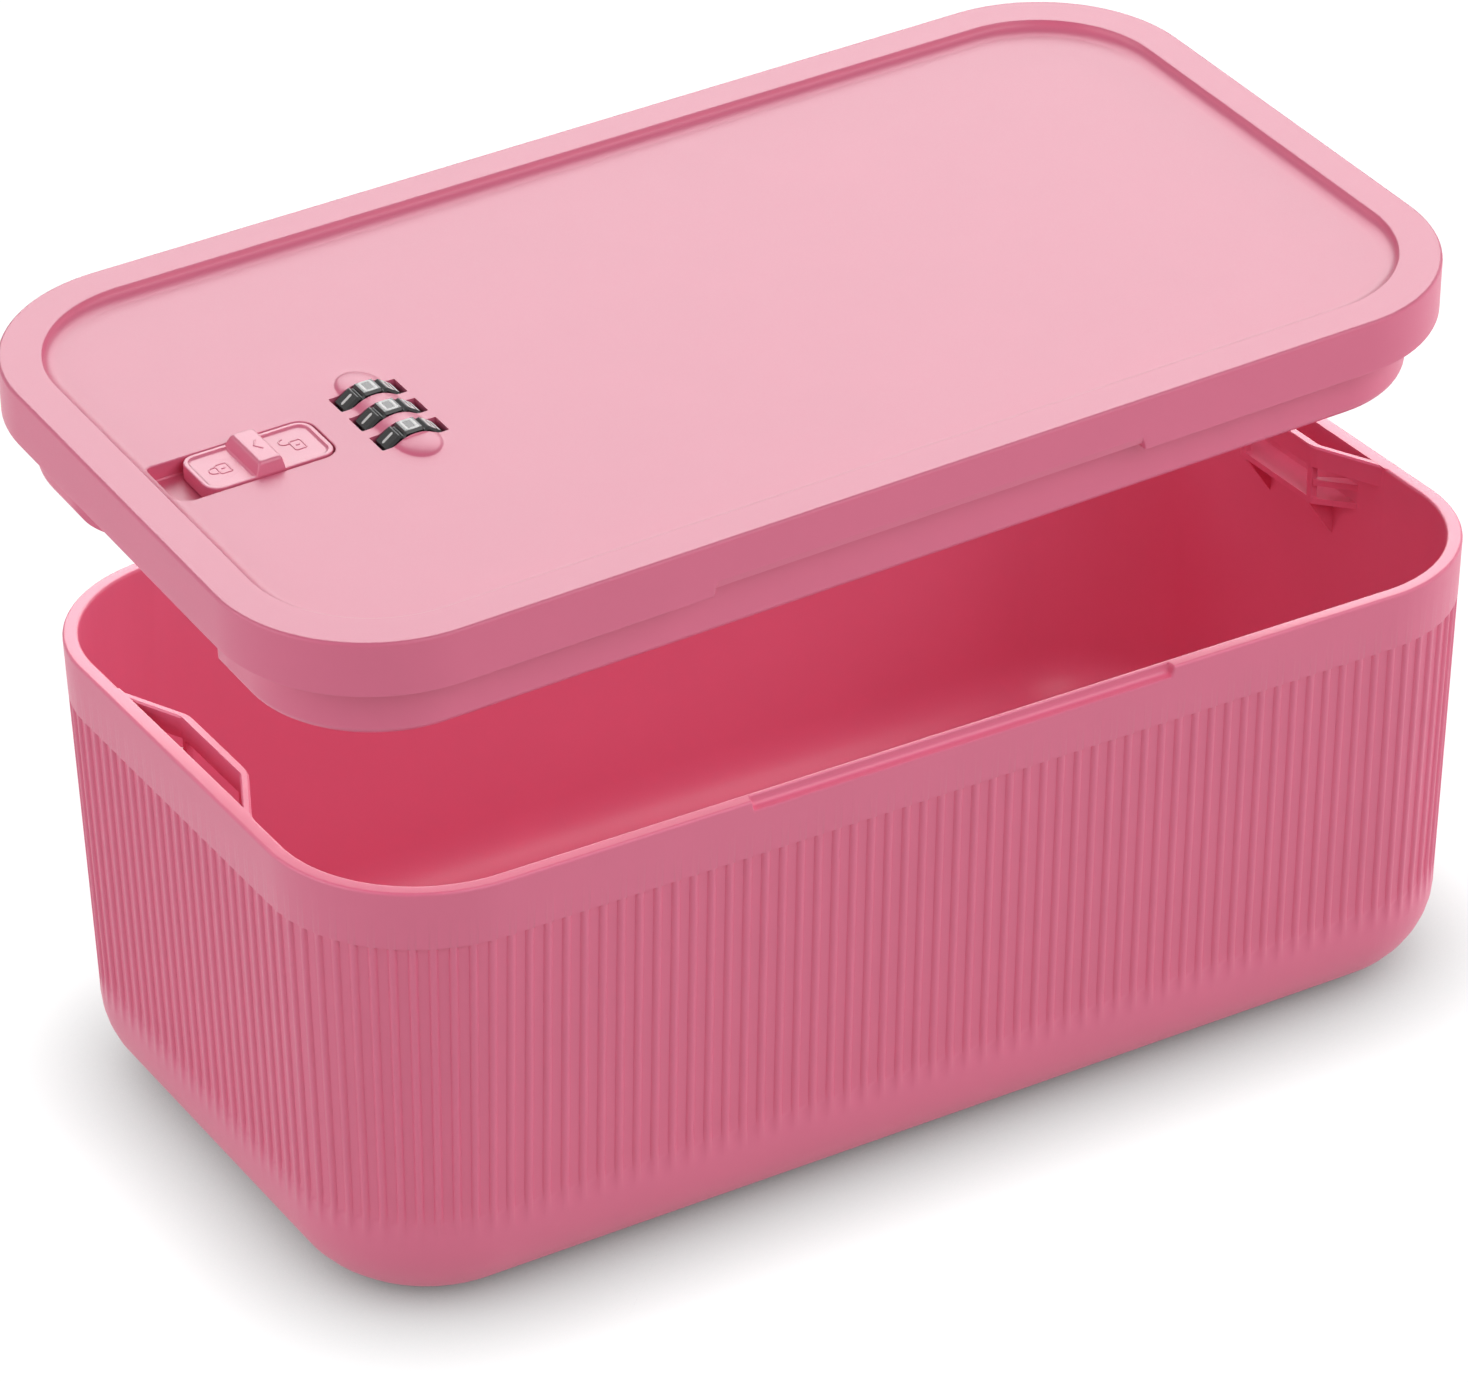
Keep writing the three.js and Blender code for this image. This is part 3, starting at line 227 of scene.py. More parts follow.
# Number wheels
WHEEL_X = SLOT_HIGH + 13.0
WHEEL_YS = (7.5, 0.0, -7.5)
WHEEL_WIDTH = 4.4
WHEEL_CHAMFER = 0.45
WHEEL_FACES = 10
FACE_RADIUS = 7.4
FACE_SHARE = 0.74
FACE_EDGE_TURN = 0.014
FACE_EDGE_DROPS = (0.07, 0.01)
WHEEL_GROOVE = 0.4
GROOVE_HALF_TURN = 0.012
WHEEL_BORE = 3.9
WHEEL_Z = PANEL_TOP + 2.0 - FACE_RADIUS
SLOT_HALF_LENGTH = 6.7
SLOT_BEND = 0.25
WHEEL_SLOT_HALF = WHEEL_WIDTH / 2 + GAP
DIGIT_HALF_SIZE = (1.45, 1.05)
DIGIT_BEND = 0.3
CLOSED_DIGIT_BEND = 0.35
DIGIT_LIFT = 0.02

# Ridges and domes round the wheels: a patch of points by its half sizes
RIDGE_REACH = (8.0, 19.5)
RIDGE_POINTS = (81, 157)
RIDGE_EDGE_SHARE = 0.999
RIDGE_EDGE = -0.4
RIDGE_LEAST = -2
RIDGE_SINK = 0.03
RIDGE_ROOT = 0.4
RIDGE_RADIUS = FACE_RADIUS - 0.5
RIDGE_END = WHEEL_YS[0] + WHEEL_SLOT_HALF
DOME_HALF_LENGTH = 4.3
DOME_REACH = 5.9
DOME_CROWN = 1.15
DOME_FALL = 0.9
DOME_EASE = 0.4

# Liner
PLUG_INSET = 5.8
PLUG_DROP = 12.0
PLUG_EDGE = 2.0
PLUG_EDGE_TURNS = np.linspace(0, 1, 9)
LINER_WALL = 2.2
LINER_FLOOR = 2.0
FLANGE_FOOT = 1.35
FLANGE_TOP = 3.15
FLANGE_BEND_LEVELS = ((0, 0.4), (0.1, 0.1), (0.4, 0))
LINER_TOP = 8.0
POCKET_FACE = 112.7
POCKET_BEND = 0.5
CASING_RISE = 0.4
BOLT_HOLE = (6.3, -10.0, -6.4)
LEVER_SLOT = (WHEEL_X - 2.9, WHEEL_X + 2.9, 2.3)
LEVER_SLOT_Y = 20.0
LEVER_SLOT_RADIUS = 0.5
LEVER_SLOT_TOP = -9
HOLE_FLARE = 0.3
HOLE_LIP = 0.01
SCREW_HOLE_RADIUS = 3.1
SCREW_HOLE_POINTS = 24
SCREW_HOLE_FLARE = 0.1
SCREW_HOLE_TOP = -9.3
LINER_SCREWS = [(x, y) for y in (-51.65, 51.65) for x in (-92.6, -37.5, 37.5, 92.6)]

# Cutters run past the faces that they open, joined pieces overlap, and a hair is the least step
PAST = 1
OVERLAP = 0.2
BITE = 0.15
HAIR = 0.02

# Outline columns
CORNER_STEPS = 24
STRAIGHT_STEPS = 10
SLAB_CORNER_POINTS = 7

# Shading: the angles in degrees over which an edge is sharp, and the weight of the faces' sizes
SHARP = 32
TUB_SHARP = 38
WHEEL_SHARP = 20
STROKE_SHARP = 80
FACE_WEIGHT = 80

# Finishes. Scales of noise are in waves a metre, and bumps in metres.
PINK = (0.85, 0.176, 0.308)
PLASTIC_DETAIL = 3.0
STEEL_DETAIL = 4.0
DRIFT_SCALE = 45.0
SHEEN_SPREAD = 0.05
LINE_SCALE = 2200.0
LINE_DEPTH = 0.000006
LINE_SHEEN = (-0.08, 0.12)
BLOTCH_SCALE = 160.0
BLOTCH_SHARE = 0.85

# Floor and light, in metres
FLOOR_HALF = 6
FLOOR_DROP = 0.0002
FLOOR_COLOUR = (0.9, 0.9, 0.9)
FLOOR_LIT = (0.15, 0.15, 0.15)
SHADOW_REACH = 0.023
SHADOW_POWER = 0.8
SHADOW_SAMPLES = 16
WORLD_LIGHT = 0.09
AIM = (0, 0, 0.1)

# Each softbox's place, size and radiance, and whether it gives gloss and matt light
SOFTBOXES = {
    "lid_gloss": ((0.78, 1.3, 1.46), (2.0, 1.5), 4.8, True, False),
    "tub_gloss": ((0.78, 1.3, 1.12), (2.0, 1.5), 4.5, True, False),
    "over_tub": ((0.0, 0.0, 2.2), (0.9, 0.7), 4.2, False, True),
    "back_low": ((0.85, 1.4, 0.3), (1.8, 0.5), 3.5, False, True),
    "right": ((1.6, 0.0, 0.28), (1.6, 0.5), 3.9, False, True),
    "front": ((0.42, -1.25, 1.1), (1.8, 0.9), 2.4, True, True),
    "tub_front": ((0.42, -1.25, 1.1), (1.8, 0.9), 2.4, True, True),
    "left": ((-1.5, 0.28, 0.72), (1.8, 1.1), 1.8, True, True),
}
NOT_ON_TUB = ("lid_gloss", "front")
ON_TUB_ALONE = ("tub_gloss", "over_tub", "tub_front")


def camera():
    """The photograph's view: a long lens that looks down on the box from its front left corner."""
    level = np.cos(ELEVATION)
    back = Vector((np.sin(AZIMUTH) * level, -np.cos(AZIMUTH) * level, np.sin(ELEVATION)))
    right = (-back).cross(Vector((0, 0, 1))).normalized()
    up = right.cross(-back)
    turned = np.cos(ROLL) * right + np.sin(ROLL) * up
    over = -np.sin(ROLL) * right + np.cos(ROLL) * up
    place = Matrix((turned, over, back)).transposed().to_4x4()
    place.translation = Vector(TARGET) + DISTANCE * back
    data = bpy.data.cameras.new("camera")
    data.sensor_width = SENSOR
    data.lens = SENSOR * LENS_PIXELS / PICTURE_PIXELS
    data.clip_end = CLIP_END
    shot = bpy.data.objects.new("camera", data)
    shot.matrix_world = place
    bpy.context.scene.collection.objects.link(shot)
    bpy.context.scene.camera = shot


# Materials

def material(name, colour, roughness, metallic=0.0):
    made = bpy.data.materials.new(name)
    made.use_nodes = True
    shader = made.node_tree.nodes["Principled BSDF"]
    shader.inputs["Base Color"].default_value = (*colour, 1)
    shader.inputs["Roughness"].default_value = roughness
    shader.inputs["Metallic"].default_value = metallic
    return made, made.node_tree, shader


def wired(tree, kind, values, links):
    """A new node with values on its sockets and links into them."""
    made = tree.nodes.new(kind)
    for socket, value in values.items():
        made.inputs[socket].default_value = value
    for socket, output in links.items():
        tree.links.new(output, made.inputs[socket])
    return made


def noise(tree, scale, detail, stretch=(1, 1, 1)):
    """Noise on Object coordinates. The scale is in waves a metre."""
    place = tree.nodes.new("ShaderNodeTexCoord").outputs["Object"]
    spread = wired(tree, "ShaderNodeMapping", {"Scale": stretch}, {"Vector": place})
    values = {"Scale": scale, "Detail": detail}
    return wired(tree, "ShaderNodeTexNoise", values, {"Vector": spread.outputs["Vector"]}).outputs["Fac"]


def ranged(tree, value, low, high):
    """The value from 0.3 to 0.7, where noise mostly lies, brought to run from low to high."""
    values = {"From Min": 0.3, "From Max": 0.7, "To Min": low, "To Max": high}
    return wired(tree, "ShaderNodeMapRange", values, {"Value": value}).outputs["Result"]


def tinted(tree, value, first, second):
    """The first colour where the value is 0, the second where it is 1, and a mix between."""
    ramp = tree.nodes.new("ShaderNodeMix")
    ramp.data_type = "RGBA"
    ramp.inputs["A"].default_value = (*first, 1)
    ramp.inputs["B"].default_value = (*second, 1)
    tree.links.new(value, ramp.inputs["Factor"])
    return ramp.outputs["Result"]


def bumped(tree, shader, value, depth):
    bump = wired(tree, "ShaderNodeBump", {"Distance": depth}, {"Height": value})
    tree.links.new(bump.outputs["Normal"], shader.inputs["Normal"])


def moulded(name, colour, roughness, grain=2600.0, depth=0.000012, mottle=0.03, ior=1.5):
    """Moulded plastic: a fine spark-eroded grain, with faint drifts in colour and sheen."""
    made, tree, shader = material(name, colour, roughness)
    drift = noise(tree, DRIFT_SCALE, PLASTIC_DETAIL)
    first = tuple(c * (1 - mottle) for c in colour)
    second = tuple(min(1.0, c * (1 + mottle)) for c in colour)
    tree.links.new(tinted(tree, drift, first, second), shader.inputs["Base Color"])
    grit = noise(tree, grain, PLASTIC_DETAIL)
    sheen = ranged(tree, grit, roughness - SHEEN_SPREAD, roughness + SHEEN_SPREAD)
    tree.links.new(sheen, shader.inputs["Roughness"])
    bumped(tree, shader, grit, depth)
    shader.inputs["IOR"].default_value = ior
    return made


def steel(name, colour, roughness, stretch):
    """Steel with fine drawn lines, which are noise stretched along one axis, and faint darker blotches."""
    made, tree, shader = material(name, colour, roughness, 1.0)
    lines = noise(tree, LINE_SCALE, STEEL_DETAIL, stretch)
    blotches = noise(tree, BLOTCH_SCALE, STEEL_DETAIL)
    low, high = LINE_SHEEN
    tree.links.new(ranged(tree, lines, roughness + low, roughness + high), shader.inputs["Roughness"])
    darker = tuple(BLOTCH_SHARE * c for c in colour)
    tree.links.new(tinted(tree, blotches, darker, colour), shader.inputs["Base Color"])
    bumped(tree, shader, lines, LINE_DEPTH)
    return made


TUB_PINK = moulded("tub satin pink", PINK, roughness=0.4, ior=1.62)
LID_PINK = moulded("lid satin pink", PINK, roughness=0.38, grain=3000.0, ior=1.54)
LATCH_PINK = moulded("latch satin pink", PINK, roughness=0.33, grain=3400.0, ior=1.66)
WHEEL_BLACK = moulded("wheel black", (0.009, 0.0085, 0.0085), roughness=0.24, grain=3800.0, depth=0.000004)
NUMBER_WHITE = moulded("number white", (0.86, 0.86, 0.85), roughness=0.4, grain=4200.0, depth=0.000004,
                       mottle=0.02)
ACETAL_GREY = moulded("acetal grey", (0.36, 0.36, 0.38), roughness=0.4, grain=2400.0)
PLATE_STEEL = steel("zinc plated strip", (0.62, 0.62, 0.63), roughness=0.3, stretch=(0.06, 1, 1))
SCREW_STEEL = steel("zinc plated screw", (0.58, 0.58, 0.6), roughness=0.34, stretch=(1, 1, 0.2))
SPRING_STEEL = steel("spring steel", (0.42, 0.42, 0.44), roughness=0.28, stretch=(1, 0.3, 1))


# Meshes

def lid_place():
    """From the shut lid's millimetres to the part's metres, with the lid swung open."""
    pivot = Vector(LIFT_PIVOT)
    turn = Matrix.Rotation(np.radians(LIFT_DEGREES), 4, Vector(LIFT_DIRECTION).normalized())
    shut = Matrix.Translation((0, 0, TUB_HEIGHT + SEAM_GAP))
    return ON_TUB @ Matrix.Translation(pivot) @ turn @ Matrix.Translation(-pivot) @ shut


ON_TUB = Matrix.Scale(0.001, 4)
ON_LID = lid_place()


def mesh_of(name, points, faces):
    data = bpy.data.meshes.new(name)
    data.from_pydata(np.asarray(points, float).reshape(-1, 3).tolist(), [], faces)
    data.update()
    piece = bpy.data.objects.new(name, data)
    bpy.context.scene.collection.objects.link(piece)
    return piece


def grid_faces(rows, columns, wrap):
    """Quads between each ring and the next. Every ring closes on itself."""
    here = np.arange(rows * columns).reshape(rows, columns)
    upper = np.roll(here, -1, 0)
    quads = np.stack([here, np.roll(here, -1, 1), np.roll(upper, -1, 1), upper], axis=-1)
    return (quads if wrap else quads[:-1]).reshape(-1, 4).tolist()


def loft(name, rings, wrap=False):
    """A closed skin over rings of equal counts. Unless the last ring joins the first, both ends get a fan."""
    rings = np.asarray(rings, float)
    rows, columns, _ = rings.shape
    faces = grid_faces(rows, columns, wrap)
    points = rings.reshape(-1, 3)
    if not wrap:
        middles = np.array([rings[0].mean(0), rings[-1].mean(0)])
        points = np.concatenate([points, middles])
        start, end = rows * columns, rows * columns + 1
        last = (rows - 1) * columns
        faces += [[start, (i + 1) % columns, i] for i in range(columns)]
        faces += [[end, last + i, last + (i + 1) % columns] for i in range(columns)]
    piece = mesh_of(name, points, faces)
    outwards(piece)
    return piece


def outwards(piece):
    """Turns every face outwards."""
    work = bmesh.new()
    work.from_mesh(piece.data)
    bmesh.ops.recalc_face_normals(work, faces=work.faces)
    work.to_mesh(piece.data)
    work.free()


def combine(piece, others, operation="DIFFERENCE"):
    """Cuts the others from the piece, or joins them to it."""
    for other in others:
        step = piece.modifiers.new(other.name, "BOOLEAN")
        step.operation = operation
        step.solver = "EXACT"
        step.object = other
    graph = bpy.context.evaluated_depsgraph_get()
    done = bpy.data.meshes.new_from_object(piece.evaluated_get(graph))
    piece.modifiers.clear()
    piece.data = done
    for other in others:
        bpy.data.objects.remove(other)
    return piece


def join(name, parts):
    """One object of several closed skins."""
    points, faces = [], []
    start = 0
    for part in parts:
        places = np.empty(3 * len(part.data.vertices), np.float32)
        part.data.vertices.foreach_get("co", places)
        points.append(places.reshape(-1, 3))
        faces += [[start + i for i in face.vertices] for face in part.data.polygons]
        start += len(part.data.vertices)
        bpy.data.objects.remove(part)
    return mesh_of(name, np.concatenate(points), faces)


def settle(piece, place, finish, body, nodes, sharp=SHARP, weighted=False):
    """Places a finished mesh, gives it its material and shading, attaches it to its body and hides its CAD
    nodes.
    """
    piece.data.transform(place)
    piece.data.shade_smooth()
    piece.data.set_sharp_from_angle(angle=np.radians(sharp))
    if weighted:
        even = piece.modifiers.new("even", "WEIGHTED_NORMAL")
        even.keep_sharp = True
        even.weight = FACE_WEIGHT
    piece.data.materials.clear()
    piece.data.materials.append(finish)
    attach(piece, body)
    if nodes:
        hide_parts(*nodes)


# Outlines

STRAIGHT_END = BOX_WIDTH - 2 * CORNER_RADIUS
STRAIGHT_SIDE = BOX_LENGTH - 2 * CORNER_RADIUS
CORNER_ARC = np.pi / 2 * CORNER_RADIUS
STRETCHES = np.array([STRAIGHT_END, CORNER_ARC, STRAIGHT_SIDE, CORNER_ARC] * 2)
STARTS = np.concatenate([[0], np.cumsum(STRETCHES)])
PERIMETER = STARTS[-1]
FRONT_STRETCH = 6
RIM_OUTLINE = (BOX_LENGTH / 2, BOX_WIDTH / 2, CORNER_RADIUS)


def outline(half_length, half_width, radius, shares, inset=0.0):
    """A rounded rectangle. A share from 0 to 1 is a place along it by length at the rim, from the right end's
    front corner round by the back. On a straight the point runs evenly, and on a corner it turns evenly."""
    along = shares * PERIMETER
    stretch = np.clip(np.searchsorted(STARTS, along, side="right") - 1, 0, len(STRETCHES) - 1)
    part = (along - STARTS[stretch]) / STRETCHES[stretch]
    quarter = stretch // 2
    on_end = quarter % 2 == 0
    reach = np.where(on_end, half_length, half_width)
    half = np.where(on_end, half_width, half_length) - radius
    arc = stretch % 2 == 1
    sweep = part * np.pi / 2
    out = np.where(arc, reach - radius + (radius - inset) * np.cos(sweep), reach - inset)
    side = np.where(arc, half + (radius - inset) * np.sin(sweep), half * (2 * part - 1))
    turn = quarter * np.pi / 2
    return out * np.cos(turn) - side * np.sin(turn), out * np.sin(turn) + side * np.cos(turn)


def at_height(x, y, height):
    return np.stack([x, y, np.broadcast_to(height, x.shape)], axis=-1)


def tub_ring(height, inset, shares, extra=0.0):
    """The tub's outline at a height, with the draft of its walls. The extra inset may differ by column."""
    down = 1 - height / TUB_HEIGHT
    half_length = BOX_LENGTH / 2 - END_DRAFT * down
    half_width = BOX_WIDTH / 2 - SIDE_DRAFT * down
    radius = CORNER_RADIUS + (BASE_CORNER_RADIUS - CORNER_RADIUS) * down
    x, y = outline(half_length, half_width, radius, shares, inset + extra)
    return at_height(x, y, height)


def lid_ring(inset, height, shares, radius=None):
    """The lid's outline drawn in by an inset, which may differ from column to column."""
    if radius is None:
        x, y = outline(*RIM_OUTLINE, shares, inset)
    else:
        x, y = outline(BOX_LENGTH / 2 - inset, BOX_WIDTH / 2 - inset, radius, shares)
    return at_height(x, y, height)


def smooth(value):
    """From 0 to 1 with a level start and end: 3 v^2 - 2 v^3."""
    value = np.clip(value, 0, 1)
    return value * value * (3 - 2 * value)


def rounding(radius, turns):
    """A quarter round: at each turn how far back, r (1 - sin), and how far up, r (1 - cos)."""
    return [(radius * (1 - np.sin(angle)), radius * (1 - np.cos(angle))) for angle in np.pi / 2 * turns]


def on_notch(shares):
    """1 along the grip notch in the front wall, 0 away from it, with a smooth step at each end."""
    x, y = outline(*RIM_OUTLINE, shares)
    return smooth((NOTCH_HALF - np.abs(x)) / NOTCH_END) * (y < 0)


def notch_shares():
    """Close columns across both ends of the grip notch."""
    front = STARTS[FRONT_STRETCH] + STRAIGHT_SIDE / 2
    ends = NOTCH_HALF - NOTCH_END * NOTCH_COLUMNS
    return np.concatenate([front - ends, front + ends]) / PERIMETER


def plain_shares():
    """Columns of a plain outline: even turns on the corners, and a few on the straights and at the notch."""
    places = []
    for k, length in enumerate(STRETCHES):
        steps = CORNER_STEPS if k % 2 else STRAIGHT_STEPS
        places.append(STARTS[k] + length * np.arange(steps) / steps)
    places.append(notch_shares() * PERIMETER)
    return np.unique(np.round(np.concatenate(places), 4)) / PERIMETER


def rounded(low_x, high_x, half_width, radius, height, middle_y=0.0, sharp_radius=None):
    """A flat rounded rectangle. The corner at the low end's back may be sharper."""
    turn = np.linspace(0, np.pi / 2, SLAB_CORNER_POINTS)
    back_radius = radius if sharp_radius is None else sharp_radius
    corners = [(high_x, 1, 1, radius), (low_x, -1, 1, back_radius)]
    corners += [(low_x, -1, -1, radius), (high_x, 1, -1, radius)]
    xs, ys = [], []
    for quarter, (x, side_x, side_y, corner) in enumerate(corners):
        angle = turn + quarter * np.pi / 2
        xs.append(x - side_x * corner + corner * np.cos(angle))
        ys.append(middle_y + side_y * (half_width - corner) + corner * np.sin(angle))
    return at_height(np.concatenate(xs), np.concatenate(ys), float(height))


def slab(name, low_x, high_x, half_width, radius, levels, middle_y=0.0, sharp_radius=None):
    """A rounded rectangle carried up through levels of (height, inset)."""
    rings = []
    for height, inset in levels:
        sharp = None if sharp_radius is None else max(HAIR, sharp_radius - inset)
        low, high, half = low_x + inset, high_x - inset, half_width - inset
        rings.append(rounded(low, high, half, max(HAIR, radius - inset), height, middle_y, sharp))
    return loft(name, rings)


def stacked(levels):
    """Rings of flat outlines, each at its height."""
    return [np.column_stack([flat, np.full(len(flat), height)]) for flat, height in levels]


def under(top, levels):
    """Levels of (height, inset) from levels of (drop under the top, inset)."""
    return [(top - drop, inset) for drop, inset in levels]


def prism(name, points, low, high, order=(0, 1, 2)):
    """A flat outline carried along the third axis of the order."""
    back = np.argsort(order)
    return loft(name, [ring[:, back] for ring in stacked([(points, low), (points, high)])])


def box_outline(low_x, high_x, low_y, high_y):
    return [(low_x, low_y), (high_x, low_y), (high_x, high_y), (low_x, high_y)]


def bend(before, here, after, radius, steps):
    """A curve in place of the corner here, from a radius before it to a radius past it: (1 - t)^2 start
    + 2 t (1 - t) here + t^2 end."""
    start = here + (before - here) / np.linalg.norm(before - here) * radius
    end = here + (after - here) / np.linalg.norm(after - here) * radius
    t = np.linspace(0, 1, steps + 1)[:, None]
    return (1 - t) ** 2 * start + 2 * t * (1 - t) * here + t ** 2 * end


def eased(points, radius, steps=4):
    """A closed outline with every corner bent."""
    flat = np.asarray(points, float)
    neighbours = zip(np.roll(flat, 1, 0), flat, np.roll(flat, -1, 0))
    return np.concatenate([bend(*corner, radius, steps) for corner in neighbours])


def bead(name, path, across, half_width, half_height, closed=False):
    """A stroke: an ellipse carried along a path. Its wide axis lies flat, and across is the face's outward
    side at each point."""
    path = np.asarray(path, float)
    ahead = np.roll(path, -1, 0) - np.roll(path, 1, 0)
    if not closed:
        ahead[0], ahead[-1] = path[1] - path[0], path[-1] - path[-2]
    ahead /= np.linalg.norm(ahead, axis=1)[:, None]
    across = np.broadcast_to(np.asarray(across, float), path.shape)
    flat = np.cross(across, ahead)
    flat /= np.linalg.norm(flat, axis=1)[:, None]
    angle = np.arange(STROKE_SIDES) / STROKE_SIDES * 2 * np.pi
    wide = half_width * np.cos(angle)[None, :, None] * flat[:, None, :]
    tall = half_height * np.sin(angle)[None, :, None] * across[:, None, :]
    rings = path[:, None, :] + wide + tall
    if not closed:
        run = half_width * TIP_RUN_SHARE
        first = rings[:1] * TIP_SHARE + (1 - TIP_SHARE) * path[:1, None] - ahead[:1, None] * run
        last = rings[-1:] * TIP_SHARE + (1 - TIP_SHARE) * path[-1:, None] + ahead[-1:, None] * run
        rings = np.concatenate([first, rings, last])
    return loft(name, rings, wrap=closed)


# Tub

def tub_shell():
    """Rings up the outside, over the rim and down the inside. Each rib has seven columns: a bead that lies
    GROOVE_DEPTH * (place / half)^BEAD_POWER under its crest, and a flat groove beside it."""
    ribs = round(PERIMETER / RIB_PITCH)
    half = BEAD_SHARE / 2 * PERIMETER / ribs
    steps = half / PERIMETER * BEAD_COLUMNS
    shares = (np.arange(ribs)[:, None] / ribs + steps[None, :]).reshape(-1) % 1
    shares = np.unique(np.concatenate([shares, notch_shares()]))
    places = (((shares * ribs + 0.5) % 1) - 0.5) * PERIMETER / ribs
    places = np.minimum(np.abs(places), half)
    groove = GROOVE_DEPTH * (places / half) ** BEAD_POWER
    notch = on_notch(shares)
    rim_x, rim_y = outline(*RIM_OUTLINE, shares)
    by_keeper = np.abs(rim_x) > BOX_LENGTH / 2 - KEEPER_MARGIN
    by_keeper &= np.abs(rim_y) < KEEPER_BASE + KEEPER_MARGIN
    inner_round = np.where(by_keeper, HAIR, RIM_ROUND)
    rings = [tub_ring(up, back, shares) for back, up in rounding(BASE_FILLET, BASE_TURNS)]
    for part in GROOVE_FADE_SHARES:
        rings.append(tub_ring(BASE_FILLET + GROOVE_FADE * part, 0, shares, groove * smooth(part)))
    for down, depth_share in GROOVE_END_LEVELS:
        rings.append(tub_ring(TUB_HEIGHT - BAND_HEIGHT - down, 0, shares, groove * depth_share))
    # The rim's outer edge, plain and in the notch
    plain = [(0, TUB_HEIGHT - drop) for drop in PLAIN_LIP_DROPS]
    plain += [(up, TUB_HEIGHT - back) for back, up in rounding(RIM_ROUND, RIM_TURNS)]
    plain += [(NOTCH_WIDTH + run, TUB_HEIGHT) for run in PLAIN_RIM_RUNS]
    ledge = TUB_HEIGHT - NOTCH_DEPTH
    cut = [(inset, ledge + up) for inset, up in NOTCH_LIP_LEVELS]
    cut += [(NOTCH_WIDTH - back, ledge + up) for back, up in rounding(NOTCH_BEND, RIM_TURNS)]
    cut += [(NOTCH_WIDTH, TUB_HEIGHT - NOTCH_EDGE), (NOTCH_WIDTH + NOTCH_EDGE, TUB_HEIGHT)]
    for (inset, height), (cut_inset, cut_height) in zip(plain, cut):
        heights = height + (cut_height - height) * notch
        rings.append(tub_ring(heights, inset + (cut_inset - inset) * notch, shares))
    for back, up in rounding(inner_round, RIM_TURNS):
        rings.append(tub_ring(TUB_HEIGHT - up, TUB_WALL - back, shares))
    rings.append(tub_ring(TUB_HEIGHT / 2, TUB_WALL, shares))
    for back, up in rounding(BASE_FILLET - FLOOR_THICKNESS, BASE_TURNS[::-1]):
        rings.append(tub_ring(FLOOR_THICKNESS + up, TUB_WALL + back, shares))
    settle(loft("tub_shell", rings), ON_TUB, TUB_PINK, "tub", ["tub"], sharp=TUB_SHARP)


def keeper_outline(far_x, far_half, near_x, near_half):
    """A trapezoid, wide at the wall and narrow at the keeper's face."""
    return np.array([[far_x, -far_half], [far_x, far_half], [near_x, near_half], [near_x, -near_half]])


def keeper_loop(outer, inner, low, high):
    """A loop between two outlines. At its top both are drawn towards each other, which rounds its edges."""
    edge_out, edge_in = eased(outer, COLLAR_BENDS[0]), eased(inner, COLLAR_BENDS[1])
    centre = outer.mean(0)
    drawn_in = edge_out + (centre - edge_out) * COLLAR_LIP / COLLAR_LIP_SPAN
    drawn_out = edge_in - (centre - edge_in) * COLLAR_LIP / COLLAR_LIP_SPAN
    near, far = COLLAR_LIP_SHARES
    shoulder, bend_height = high - COLLAR_LIP, high - near * COLLAR_LIP
    levels = [(edge_in, low), (edge_out, low), (edge_out, shoulder),
              (edge_out * near + drawn_in * far, bend_height), (drawn_in, high), (drawn_out, high),
              (edge_in * near + drawn_out * far, bend_height), (edge_in, shoulder)]
    return loft("loop", stacked(levels), wrap=True)


